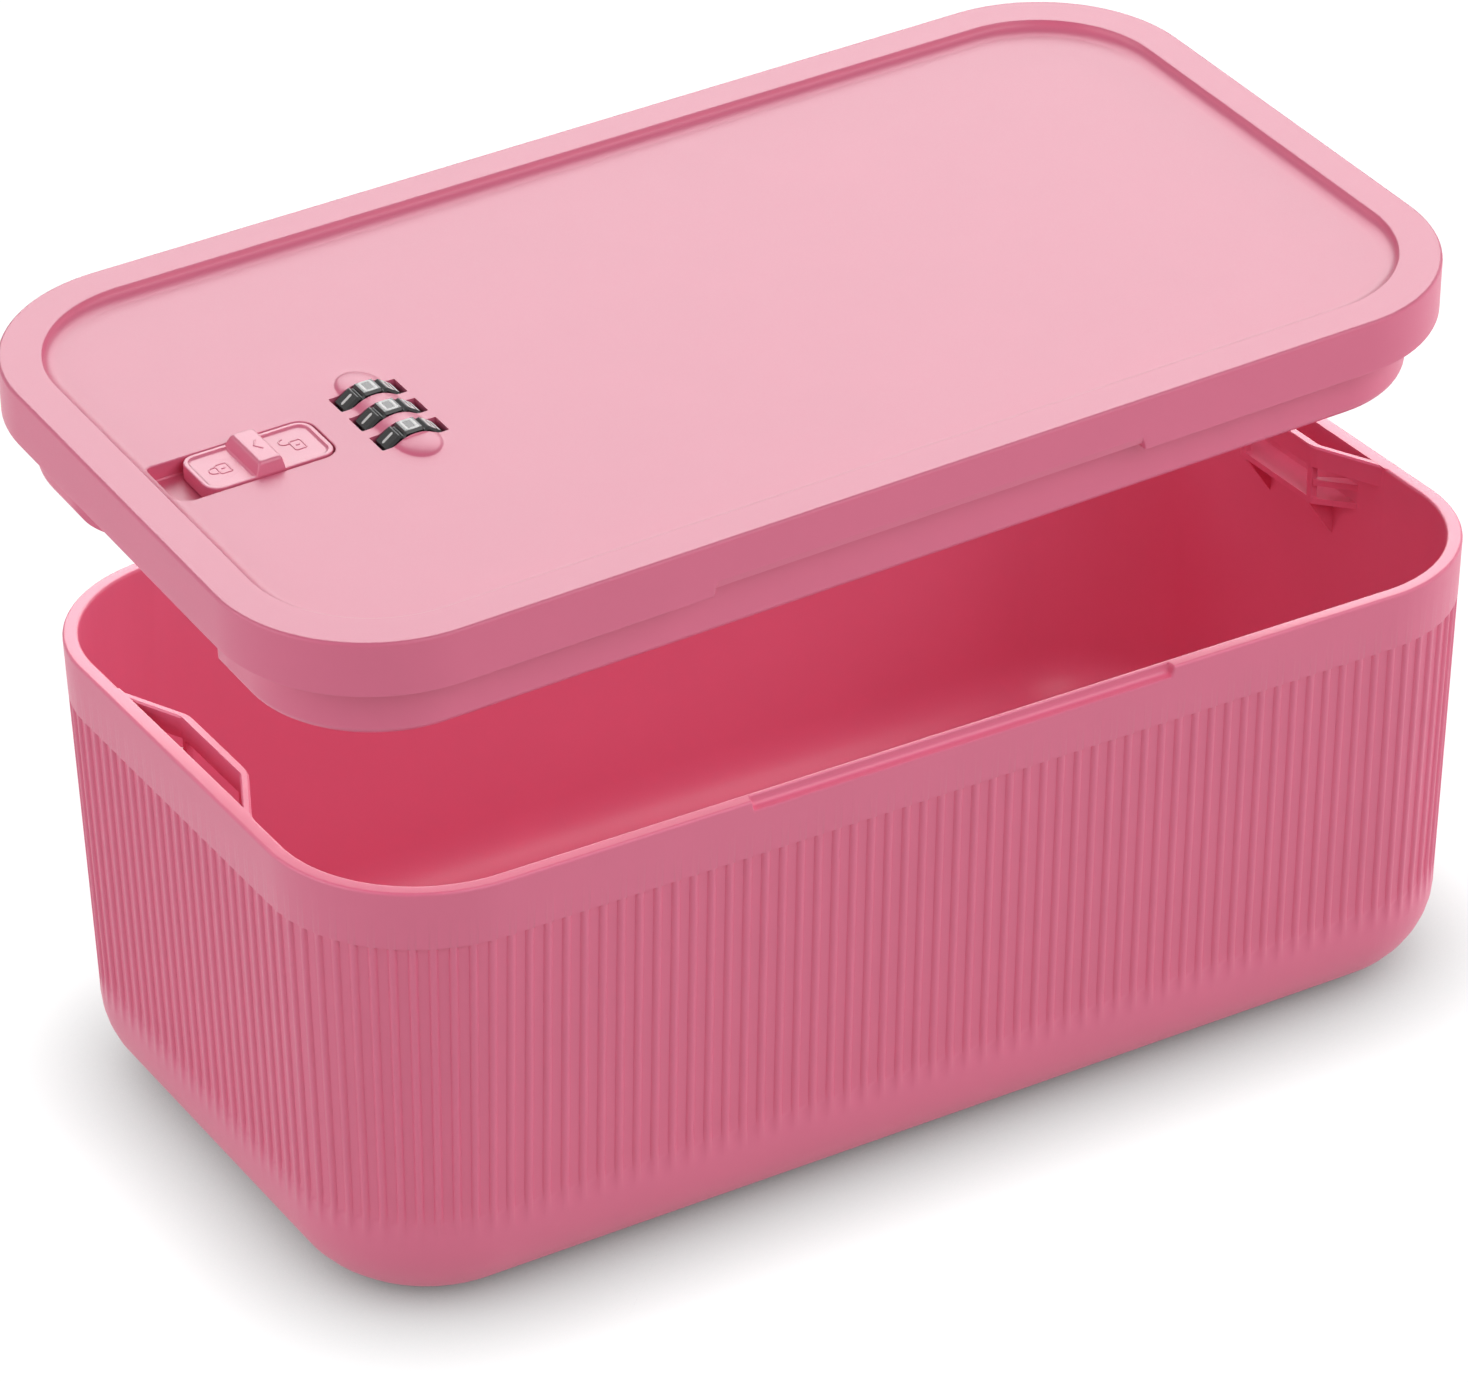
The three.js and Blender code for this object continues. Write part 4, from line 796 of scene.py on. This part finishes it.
def keeper(name, side):
    """A collar open at top and bottom, corner posts, a shelf and two gussets, on a short wall's inside."""
    wall_x = BOX_LENGTH / 2 - TUB_WALL
    face_x = wall_x - KEEPER_REACH
    root_x = wall_x + WALL_BITE
    side_wall = KEEPER_WALL * np.hypot(1, KEEPER_SLOPE)
    hole_half = KEEPER_FLAT + KEEPER_SLOPE * KEEPER_WALL - side_wall
    hole_root = hole_half + KEEPER_SLOPE * (KEEPER_REACH - KEEPER_WALL)
    root_half = KEEPER_FLAT + KEEPER_SLOPE * (root_x - face_x)
    outer = keeper_outline(root_x, root_half, face_x, KEEPER_FLAT)
    inner = keeper_outline(wall_x, hole_root, face_x + KEEPER_WALL, hole_half)
    ledge_slope = (LEDGE_BASE - KEEPER_FLAT) / KEEPER_REACH
    ledge_root = KEEPER_FLAT + ledge_slope * (root_x - face_x)
    ledge = keeper_outline(root_x, ledge_root, face_x, KEEPER_FLAT)
    collar_foot = TUB_HEIGHT - COLLAR_DROP
    shelf_top = TUB_HEIGHT - SHELF_DROP
    shelf_foot = shelf_top - SHELF_THICKNESS
    middle = (collar_foot + shelf_top) / 2
    half = SHELF_THICKNESS / 2
    parts = [keeper_loop(outer, inner, collar_foot, TUB_HEIGHT - HAIR)]
    parts.append(prism("shelf", eased(ledge, SHELF_BEND), shelf_foot, shelf_top))
    for end in (-1, 1):
        low, high = sorted((end * (KEEPER_FLAT - KEEPER_WALL), end * KEEPER_FLAT))
        post = box_outline(face_x + POST_SETBACK, face_x + KEEPER_WALL, low, high)
        parts.append(prism("corner", eased(post, POST_BEND, 2), shelf_top - OVERLAP, collar_foot + OVERLAP))
        back, out = SIDE_RIB_SETBACK
        side_rib = [(root_x, end * ledge_root), (face_x + back, end * (KEEPER_FLAT + out)),
                    (face_x + KEEPER_WALL, end * hole_half), (root_x, end * (ledge_root - side_wall))]
        parts.append(prism("side_rib", side_rib, middle - half, middle + half))
        nose_x, nose_drop = GUSSET_NOSE
        gusset = [(root_x, shelf_foot + OVERLAP), (face_x + nose_x, shelf_foot + OVERLAP),
                  (face_x + nose_x, shelf_foot - nose_drop), (wall_x, shelf_foot - GUSSET_HEIGHT),
                  (root_x, shelf_foot - GUSSET_HEIGHT)]
        y = end * GUSSET_PLACE
        parts.append(prism("gusset", gusset, y - half, y + half, (0, 2, 1)))
    whole = combine(parts[0], parts[1:], "UNION")
    whole.name = name
    if side < 0:
        whole.data.transform(Matrix.Rotation(np.pi, 4, "Z"))
    settle(whole, ON_TUB, TUB_PINK, "tub", ["tub"], weighted=True)


# Lid

def wheel_surround():
    """Ridges between the wheels and a dome at each end: a height over the panel. Along the row it is an arc
    about the wheels' axle, and past the last wheel an ellipsoid. The height h is eased to
    (h + sqrt(h^2 + ease^2)) / 2, which lets it run softly onto the panel."""
    reach_x, reach_y = RIDGE_REACH
    across_x = np.linspace(-reach_x, reach_x, RIDGE_POINTS[0])
    along_y = np.linspace(-reach_y, reach_y, RIDGE_POINTS[1])
    across, along = np.meshgrid(across_x, along_y)
    arc = np.sqrt(np.maximum(0, RIDGE_RADIUS ** 2 - across ** 2)) + WHEEL_Z - PANEL_TOP
    past = np.maximum(0, np.abs(along) - RIDGE_END) / DOME_REACH
    share = (across / DOME_HALF_LENGTH) ** 2 + past ** 2
    dome = DOME_CROWN * np.sqrt(np.maximum(0, 1 - share)) - DOME_FALL * np.maximum(0, share - 1)
    height = np.where(past > 0, dome, np.maximum(arc, RIDGE_LEAST))
    height = (height + np.sqrt(height ** 2 + DOME_EASE ** 2)) / 2 - RIDGE_SINK
    at_edge = np.maximum(np.abs(across) / reach_x, np.abs(along) / reach_y) > RIDGE_EDGE_SHARE
    height = np.where(at_edge, RIDGE_EDGE, height)
    rows, columns = across.shape
    top = np.stack([across + WHEEL_X, along, height + PANEL_TOP], axis=-1).reshape(-1, 3)
    foot = top.copy()
    foot[:, 2] = PANEL_FOOT + RIDGE_ROOT
    count = rows * columns
    here = np.arange(count).reshape(rows, columns)
    quads = np.stack([here[:-1, :-1], here[:-1, 1:], here[1:, 1:], here[1:, :-1]], axis=-1).reshape(-1, 4)
    rim = np.concatenate([here[0, :-1], here[:-1, -1], here[-1, :0:-1], here[:0:-1, 0]])
    ahead = np.roll(rim, -1)
    walls = np.stack([rim, rim + count, ahead + count, ahead], axis=-1)
    faces = quads.tolist() + (quads[:, ::-1] + count).tolist() + walls.tolist()
    piece = mesh_of("wheel_surround", np.concatenate([top, foot]), faces)
    outwards(piece)
    return piece


def wheel_cutters():
    """For each wheel a straight slot through the panel."""
    cutters = []
    for y in WHEEL_YS:
        slot = box_outline(WHEEL_X - SLOT_HALF_LENGTH, WHEEL_X + SLOT_HALF_LENGTH,
                           y - WHEEL_SLOT_HALF, y + WHEEL_SLOT_HALF)
        cutters.append(prism("slot", eased(slot, SLOT_BEND, 2), PANEL_FOOT - PAST, LID_HEIGHT + PAST))
    return cutters


def lid_cover():
    """Rings from the panel's underside out over the skirt, up the outer wall, over the rim and down the soft
    fillet onto the panel. Then the latch's tray and the wheels' surround are joined on, and the slots cut."""
    shares = plain_shares()
    notch = on_notch(shares)
    ceiling = PLUG_INSET + LINER_WALL + GAP

    def skirt(foot, levels):
        edge = [(SKIRT_WALL - back, foot + up) for back, up in SKIRT_EDGE_LEVELS]
        return [(ceiling, PANEL_FOOT), (ceiling, RIM_UNDERSIDE), (SKIRT_WALL, RIM_UNDERSIDE),
                (SKIRT_WALL, SKIRT_SHOULDER), *edge, *levels, (0, SKIRT_FACE_FOOT)]

    plain, cut = skirt(0, SKIRT_PLAIN_LEVELS), skirt(SKIRT_NOTCH_RISE, SKIRT_NOTCH_LEVELS)
    rings = []
    for (inset, height), (cut_inset, cut_height) in zip(plain, cut):
        insets = inset + (cut_inset - inset) * notch
        rings.append(lid_ring(insets, height + (cut_height - height) * notch, shares))
    for back, up in rounding(LID_ROUND, LID_ROUND_TURNS):
        rings.append(lid_ring(up, LID_HEIGHT - back, shares))
    lip_run = RECESS_LIP + RECESS_LIP_RUN
    rings.append(lid_ring(RECESS_INSET - lip_run, LID_HEIGHT, shares, RECESS_RADIUS + lip_run))
    for back, up in rounding(RECESS_LIP, RECESS_LIP_TURNS):
        rings.append(lid_ring(RECESS_INSET - back, LID_HEIGHT - up, shares, RECESS_RADIUS + back))
    for angle in np.pi / 2 * RECESS_SLOPE_TURNS:
        drawn = RECESS_SLOPE * (1 - np.cos(angle))
        height = LID_HEIGHT - RECESS_DEPTH * np.sin(angle)
        rings.append(lid_ring(RECESS_INSET + drawn, height, shares, RECESS_RADIUS - drawn))
    drawn = RECESS_SLOPE + RECESS_FOOT_RUN
    rings.append(lid_ring(RECESS_INSET + drawn, PANEL_TOP, shares, RECESS_RADIUS - drawn))
    cover = loft("lid_cover", rings)
    tray = slab("tray", SLOT_LOW - TRAY_WALL, SLOT_HIGH + TRAY_WALL, SLOT_HALF + TRAY_WALL, TRAY_RADIUS,
                [(TRAY_FOOT, 0), (PANEL_FOOT + BITE, 0)])
    combine(cover, [tray, wheel_surround()], "UNION")
    flare = under(TRAY_TOP, SLOT_FOOT) + under(PANEL_TOP, SLOT_EDGE)
    flare.append((LID_HEIGHT + PAST, SLOT_EDGE[-1][1]))
    slot = slab("slot", SLOT_LOW, SLOT_HIGH, SLOT_HALF, SLOT_RADIUS, flare, sharp_radius=SLOT_SHARP_RADIUS)
    slit = slab("slit", STEM_LOW - LATCH_TRAVEL - GAP, STEM_HIGH + GAP, STEM_HALF + GAP, SLIT_RADIUS,
                [(TRAY_FOOT - PAST, 0), (TRAY_TOP + PAST, 0)])
    combine(cover, [slot, slit, *wheel_cutters()])
    settle(cover, ON_LID, LID_PINK, "lid", ["lid_shell"], weighted=True)


def screw_hole(x, y, foot):
    """A round hole up from the liner's foot, flared where it opens."""
    angle = np.arange(SCREW_HOLE_POINTS) / SCREW_HOLE_POINTS * 2 * np.pi
    middle = np.array([[x, y]])
    circle = np.column_stack([x + SCREW_HOLE_RADIUS * np.cos(angle), y + SCREW_HOLE_RADIUS * np.sin(angle)])
    mouth = circle + (circle - middle) * SCREW_HOLE_FLARE
    levels = [(mouth, foot - PAST), (mouth, foot - HOLE_LIP), (circle, foot + HOLE_FLARE),
              (circle, SCREW_HOLE_TOP)]
    return loft("screw_hole", stacked(levels))


def liner():
    """The plug: rings over its underside and up its wall to the flange, then the tray inside. The keepers'
    pockets, the bolts' holes, the screws' holes and the lever's slot are cut."""
    shares = plain_shares()
    inner = PLUG_INSET + LINER_WALL
    flange = SKIRT_WALL + GAP
    edge = rounding(PLUG_EDGE, PLUG_EDGE_TURNS)
    rings = [lid_ring(PLUG_INSET + back, up - PLUG_DROP, shares) for back, up in edge]
    levels = [(PLUG_INSET - run, FLANGE_FOOT - drop) for run, drop in FLANGE_BEND_LEVELS]
    levels += [(flange, FLANGE_FOOT), (flange, FLANGE_TOP), (PLUG_INSET, FLANGE_TOP), (PLUG_INSET, LINER_TOP),
               (inner, LINER_TOP), (inner, LINER_FLOOR - PLUG_DROP)]
    rings += [lid_ring(inset, height, shares) for inset, height in levels]
    plug = loft("lid_liner_plug", rings)
    end_x = BOX_LENGTH / 2 - PLUG_INSET

    def pocket(face, end, side):
        half = KEEPER_FLAT + GAP
        return side * keeper_outline(end, half + KEEPER_SLOPE * (end - face), face, half)

    casings, rooms = [], []
    for side in (-1, 1):
        casing = pocket(POCKET_FACE - LINER_WALL, end_x - LINER_WALL + BITE, side)
        casings.append(prism("casing", casing, -PLUG_DROP + CASING_RISE, FLANGE_TOP))
        room = eased(pocket(POCKET_FACE, end_x + PAST, side), POCKET_BEND, 3)
        rooms.append(prism("room", room, -PLUG_DROP - PAST, FLANGE_FOOT - HAIR))
        half, low, high = BOLT_HOLE
        near, far = sorted((side * (POCKET_FACE - LINER_WALL - PAST), side * (POCKET_FACE + PAST)))
        rooms.append(prism("bolt_hole", box_outline(near, far, -half, half), low, high))
    combine(plug, casings, "UNION")
    mouth = [(-PLUG_DROP - PAST, -HOLE_FLARE), (-PLUG_DROP - HOLE_LIP, -HOLE_FLARE),
             (-PLUG_DROP + HOLE_FLARE, 0), (LEVER_SLOT_TOP, 0)]
    rooms.append(slab("lever_slot", *LEVER_SLOT, LEVER_SLOT_RADIUS, mouth, LEVER_SLOT_Y))
    rooms += [screw_hole(x, y, -PLUG_DROP) for x, y in LINER_SCREWS]
    combine(plug, rooms)
    settle(plug, ON_LID, LID_PINK, "lid", ["lid_liner"], weighted=True)


# Latch

def slider():
    """The thumb plate: a raised border round a dished face, and across its middle a bar that tapers upwards,
    with soft edges and a small fillet at its foot."""
    foot = TRAY_TOP + GAP
    radius = SLOT_RADIUS - GAP
    levels = under(foot, SLIDER_FOOT) + under(SLIDER_TOP, SLIDER_EDGE)
    plate = slab("latch_plate", SLIDER_LOW, SLIDER_HIGH, SLIDER_HALF, radius, levels)
    dish_foot = SLIDER_TOP - DISH_DEPTH
    levels = under(dish_foot, DISH_FOOT) + under(SLIDER_TOP, DISH_EDGE)
    levels.append((SLIDER_TOP + PAST, DISH_EDGE[-1][1]))
    dish = slab("dish", SLIDER_LOW + SLIDER_BORDER, SLIDER_HIGH - SLIDER_BORDER,
                SLIDER_HALF - SLIDER_BORDER, radius - SLIDER_BORDER, levels)
    combine(plate, [dish])
    stem = slab("stem", STEM_LOW, STEM_HIGH, STEM_HALF, STEM_RADIUS, [(TRAY_FOOT, 0), (foot + STEM_ROOT, 0)])
    combine(plate, [stem, thumb(foot, dish_foot)], "UNION")
    settle(plate, ON_LID, LATCH_PINK, "latch", ["latch_slider"], weighted=True)


def thumb(foot, dish_foot):
    """The bar's rings: at each height the sides lean in by their slope times the share of the way up. An edge
    inset is added, which is a fillet at the foot and a round at the top."""
    rise = THUMB_TOP - dish_foot
    end_rise = THUMB_TOP - SLIDER_TOP
    levels = [(foot + THUMB_ROOT, -HAIR), *under(dish_foot, THUMB_FILLET), (SLIDER_TOP, 0),
              *under(THUMB_TOP, THUMB_EDGE)]
    rings = []
    for height, inset in levels:
        up = np.clip((height - dish_foot) / rise, 0, 1)
        end_up = np.clip((height - SLIDER_TOP) / end_rise, 0, 1)
        low = THUMB_LOW + THUMB_FRONT_SLOPE * up + inset
        high = THUMB_HIGH - THUMB_BACK_SLOPE * up - inset
        half = SLIDER_HALF - THUMB_END_SLOPE * end_up - (max(0.0, inset) + HAIR)
        rings.append(rounded(low, high, half, THUMB_RADIUS, height))
    return loft("thumb", rings)


def padlock(middle_x, height, is_open):
    """The strokes of a padlock sign that stands towards -X: a box, a shackle and a keyhole. An open one has
    its shackle to the side, without the last foot."""
    up = np.array([0, 0, 1.0])

    def at(points):
        points = np.asarray(points, float)
        return np.column_stack([middle_x - points[:, 1], points[:, 0], np.full(len(points), height)])

    turn = np.linspace(np.pi, 0, SHACKLE_POINTS)
    arch = np.column_stack([SHACKLE_RADIUS * np.cos(turn), SHACKLE_MIDDLE + SHACKLE_RADIUS * np.sin(turn)])
    arch = np.concatenate([[[-SHACKLE_RADIUS, SHACKLE_FOOT]], arch, [[SHACKLE_RADIUS, SHACKLE_FOOT]]])
    if is_open:
        arch = arch[:-1]
        arch[:, 0] += 2 * SHACKLE_RADIUS
    return [bead("box", at(eased(PADLOCK_BOX, PADLOCK_BEND, 3)), up, *SIGN_STROKE, closed=True),
            bead("arch", at(arch), up, *SIGN_STROKE), bead("keyhole", at(KEYHOLE), up, *SIGN_STROKE)]


def latch_signs():
    """A shut padlock and an open one on the dish, and a chevron on the thumb bar."""
    height = SLIDER_TOP - DISH_DEPTH + SIGN_LIFT
    strokes = padlock((SLIDER_LOW + SLIDER_BORDER + THUMB_LOW) / 2, height, False)
    strokes += padlock((SLIDER_HIGH - SLIDER_BORDER + THUMB_HIGH) / 2, height, True)
    middle_x = (THUMB_LOW + THUMB_FRONT_SLOPE + THUMB_HIGH - THUMB_BACK_SLOPE) / 2
    back_x = middle_x + CHEVRON_DEPTH_HALF
    chevron = [(back_x, -CHEVRON_HALF, THUMB_TOP), (middle_x - CHEVRON_DEPTH_HALF, 0, THUMB_TOP),
               (back_x, CHEVRON_HALF, THUMB_TOP)]
    strokes.append(bead("chevron", chevron, (0, 0, 1.0), *CHEVRON_STROKE))
    settle(join("latch_signs", strokes), ON_LID, LATCH_PINK, "latch", [], sharp=STROKE_SHARP)


# Number wheels

# Each digit's lines, in its half widths and half heights. A line closes if the second value is true.
DIGITS = {
    0: [([(-1, -1), (1, -1), (1, 1), (-1, 1)], True)],
    1: [([(0, -1), (0, 1)], False)],
    2: [([(-1, 1), (1, 1), (1, 0), (-1, 0), (-1, -1), (1, -1)], False)],
    3: [([(-1, 1), (1, 1), (1, -1), (-1, -1)], False), ([(-0.5, 0), (1, 0)], False)],
    4: [([(-1, 1), (-1, -0.1), (1, -0.1)], False), ([(0.45, 1), (0.45, -1)], False)],
    5: [([(1, 1), (-1, 1), (-1, 0.1), (1, 0.1), (1, -1), (-1, -1)], False)],
    6: [([(1, 1), (-1, 1), (-1, -1), (1, -1), (1, 0.05), (-1, 0.05)], False)],
    7: [([(-1, 1), (1, 1), (0, -1)], False)],
    8: [([(-1, -1), (1, -1), (1, 1), (-1, 1)], True), ([(-1, 0), (1, 0)], False)],
    9: [([(-1, -1), (1, -1), (1, 1), (-1, 1), (-1, -0.05), (1, -0.05)], False)],
}


def stroke_path(points, closed):
    """A digit's line with its corners bent."""
    flat = np.asarray(points, float) * DIGIT_HALF_SIZE
    if closed:
        return eased(flat, CLOSED_DIGIT_BEND)
    bends = [bend(*corner, DIGIT_BEND, 4) for corner in zip(flat[:-2], flat[1:-1], flat[2:])]
    return np.concatenate([flat[:1], *bends, flat[-1:]])


def wheel(number, y):
    """Ten flat faces with a V-shaped notch between each two, chamfered rims and a bore."""
    half_pitch = np.pi / WHEEL_FACES
    half = np.arctan(np.tan(half_pitch) * FACE_SHARE)
    edge = FACE_RADIUS / np.cos(half)
    edge_drop, face_drop = FACE_EDGE_DROPS
    low = FACE_RADIUS - WHEEL_GROOVE
    inner = half - FACE_EDGE_TURN
    columns = [-half, -inner, inner, half, half_pitch - GROOVE_HALF_TURN, half_pitch + GROOVE_HALF_TURN]
    radii = [edge - edge_drop, edge - face_drop, edge - face_drop, edge - edge_drop, low, low]
    middles = np.pi / 2 + np.arange(WHEEL_FACES) * 2 * half_pitch
    angles = (middles[:, None] + np.array(columns)[None, :]).reshape(-1)
    radii = np.tile(radii, WHEEL_FACES)

    def ring(radius, place):
        x, z = WHEEL_X + radius * np.cos(angles), WHEEL_Z + radius * np.sin(angles)
        return np.column_stack([x, np.full(angles.shape, y + place), z])

    end = WHEEL_WIDTH / 2
    shoulder = end - WHEEL_CHAMFER
    rim = radii - WHEEL_CHAMFER
    rings = [ring(WHEEL_BORE, -end), ring(rim, -end), ring(radii, -shoulder), ring(radii, shoulder),
             ring(rim, end), ring(WHEEL_BORE, end)]
    piece = loft(f"number_wheel_{number}", rings, wrap=True)
    settle(piece, ON_LID, WHEEL_BLACK, f"dial_{number}", [f"dial_wheel_{number}"],
           sharp=WHEEL_SHARP, weighted=True)
    strokes = []
    for digit, lines in DIGITS.items():
        angle = np.pi / 2 + digit * 2 * half_pitch
        out = np.array([np.cos(angle), 0, np.sin(angle)])
        up = np.array([-np.sin(angle), 0, np.cos(angle)])
        middle = np.array([WHEEL_X, y, WHEEL_Z]) + (FACE_RADIUS + DIGIT_LIFT) * out
        for points, closed in lines:
            flat = stroke_path(points, closed)
            path = middle + flat[:, 1:] * up + flat[:, :1] * np.array([0, 1.0, 0])
            strokes.append(bead("stroke", path, out, *DIGIT_STROKE, closed))
    numbers = join(f"wheel_numbers_{number}", strokes)
    settle(numbers, ON_LID, NUMBER_WHITE, f"dial_{number}", [], sharp=STROKE_SHARP)


# Kept CAD nodes

FINISHES = {
    "plate_steel": PLATE_STEEL, "screw_steel": SCREW_STEEL, "spring_steel": SPRING_STEEL,
    "inner_plastic": ACETAL_GREY, "tub_plastic": TUB_PINK, "lid_plastic": LID_PINK, "liner_plastic": LID_PINK,
    "latch_plastic": LATCH_PINK, "wheel_plastic": WHEEL_BLACK,
}


def finish_nodes():
    """Every CAD node that stays in view takes the finish of its slot in the record."""
    slots = {part["node"]: part["material_slot"] for part in frame["record"]["subparts"]}
    for name, node in frame["nodes"].items():
        for place in node.material_slots:
            place.material = FINISHES[slots[name]]


# Floor and light

def greater(tree, first, second):
    step = wired(tree, "ShaderNodeMath", {}, {0: first, 1: second})
    step.operation = "MAXIMUM"
    return step.outputs["Value"]


def seen_or_mirrored(tree):
    """1 for a camera ray, a glossy ray and a transmission ray, and 0 for the light that falls on things."""
    rays = tree.nodes.new("ShaderNodeLightPath")
    seen = greater(tree, rays.outputs["Is Camera Ray"], rays.outputs["Is Glossy Ray"])
    return greater(tree, seen, rays.outputs["Is Transmission Ray"])


def floor():
    """A pale floor. Seen by the camera or in a gloss it is white with the box's painted contact shadow: how
    much of the sky is open within SHADOW_REACH, to SHADOW_POWER, and a share of the light that falls there."""
    made, tree, plain = material("floor white", FLOOR_COLOUR, roughness=0.9)
    open_sky = wired(tree, "ShaderNodeAmbientOcclusion", {"Distance": SHADOW_REACH}, {})
    open_sky.samples = SHADOW_SAMPLES
    shade = wired(tree, "ShaderNodeMath", {1: SHADOW_POWER}, {0: open_sky.outputs["AO"]})
    shade.operation = "POWER"
    # Painted contact shadow: white emission dimmed by how much of the sky is open, not by the light that
    # falls
    white = wired(tree, "ShaderNodeEmission", {}, {"Strength": shade.outputs["Value"]})
    lit = wired(tree, "ShaderNodeBsdfDiffuse", {"Color": (*FLOOR_LIT, 1)}, {})
    both = wired(tree, "ShaderNodeAddShader", {}, {0: white.outputs["Emission"], 1: lit.outputs["BSDF"]})
    sides = {"Fac": seen_or_mirrored(tree), 1: plain.outputs["BSDF"], 2: both.outputs["Shader"]}
    blend = wired(tree, "ShaderNodeMixShader", {}, sides)
    tree.links.new(blend.outputs["Shader"], tree.nodes["Material Output"].inputs["Surface"])
    corners = [(x, y, 0) for x, y in box_outline(-FLOOR_HALF, FLOOR_HALF, -FLOOR_HALF, FLOOR_HALF)]
    ground = mesh_of("floor", corners, [(0, 1, 2, 3)])
    ground.location.z = -FLOOR_DROP
    ground.data.materials.append(made)


def lamp(name, place, size, radiance, gloss, matt):
    """A rectangular softbox. Its power is pi times its area times its radiance."""
    data = bpy.data.lights.new(name, "AREA")
    data.shape = "RECTANGLE"
    data.size, data.size_y = size
    data.energy = np.pi * size[0] * size[1] * radiance
    light = bpy.data.objects.new(name, data)
    light.location = place
    light.rotation_euler = (Vector(AIM) - Vector(place)).to_track_quat("-Z", "Y").to_euler()
    light.visible_camera = False
    light.visible_diffuse = matt
    light.visible_glossy = gloss
    bpy.context.scene.collection.objects.link(light)
    return light


def share_out(lamps):
    """Some lamps light all but the tub. Others light the tub alone, where only the tub casts a shadow. So the
    tub's rim and its inside shine although the lid hangs over them."""
    tub_only = bpy.data.collections.new("tub_only")
    all_but_tub = bpy.data.collections.new("all_but_tub")
    for piece in bpy.context.scene.objects:
        if piece.type == "MESH" and piece.name.startswith("tub"):
            tub_only.objects.link(piece)
            all_but_tub.objects.link(piece)
    for entry in all_but_tub.collection_objects:
        entry.light_linking.link_state = "EXCLUDE"
    for name in NOT_ON_TUB:
        lamps[name].light_linking.receiver_collection = all_but_tub
    for name in ON_TUB_ALONE:
        lamps[name].light_linking.receiver_collection = tub_only
        lamps[name].light_linking.blocker_collection = tub_only


def world():
    """An even white surround: WORLD_LIGHT falls on things, and the camera and a gloss see full white."""
    surround = bpy.data.worlds.new("studio")
    surround.use_nodes = True
    tree = surround.node_tree
    back = tree.nodes["Background"]
    back.inputs["Color"].default_value = (1, 1, 1, 1)
    values = {"To Min": WORLD_LIGHT, "To Max": 1.0}
    level = wired(tree, "ShaderNodeMapRange", values, {"Value": seen_or_mirrored(tree)})
    tree.links.new(level.outputs["Result"], back.inputs["Strength"])
    bpy.context.scene.world = surround


camera()
bpy.context.scene.view_settings.view_transform = "Standard"
world()
floor()
lamps = {name: lamp(f"softbox_{name}", *row) for name, row in SOFTBOXES.items()}

finish_nodes()
tub_shell()
keeper("tub_keeper_left", -1)
keeper("tub_keeper_right", 1)
lid_cover()
liner()
slider()
latch_signs()
for number, wheel_y in enumerate(WHEEL_YS, 1):
    wheel(number, wheel_y)
share_out(lamps)
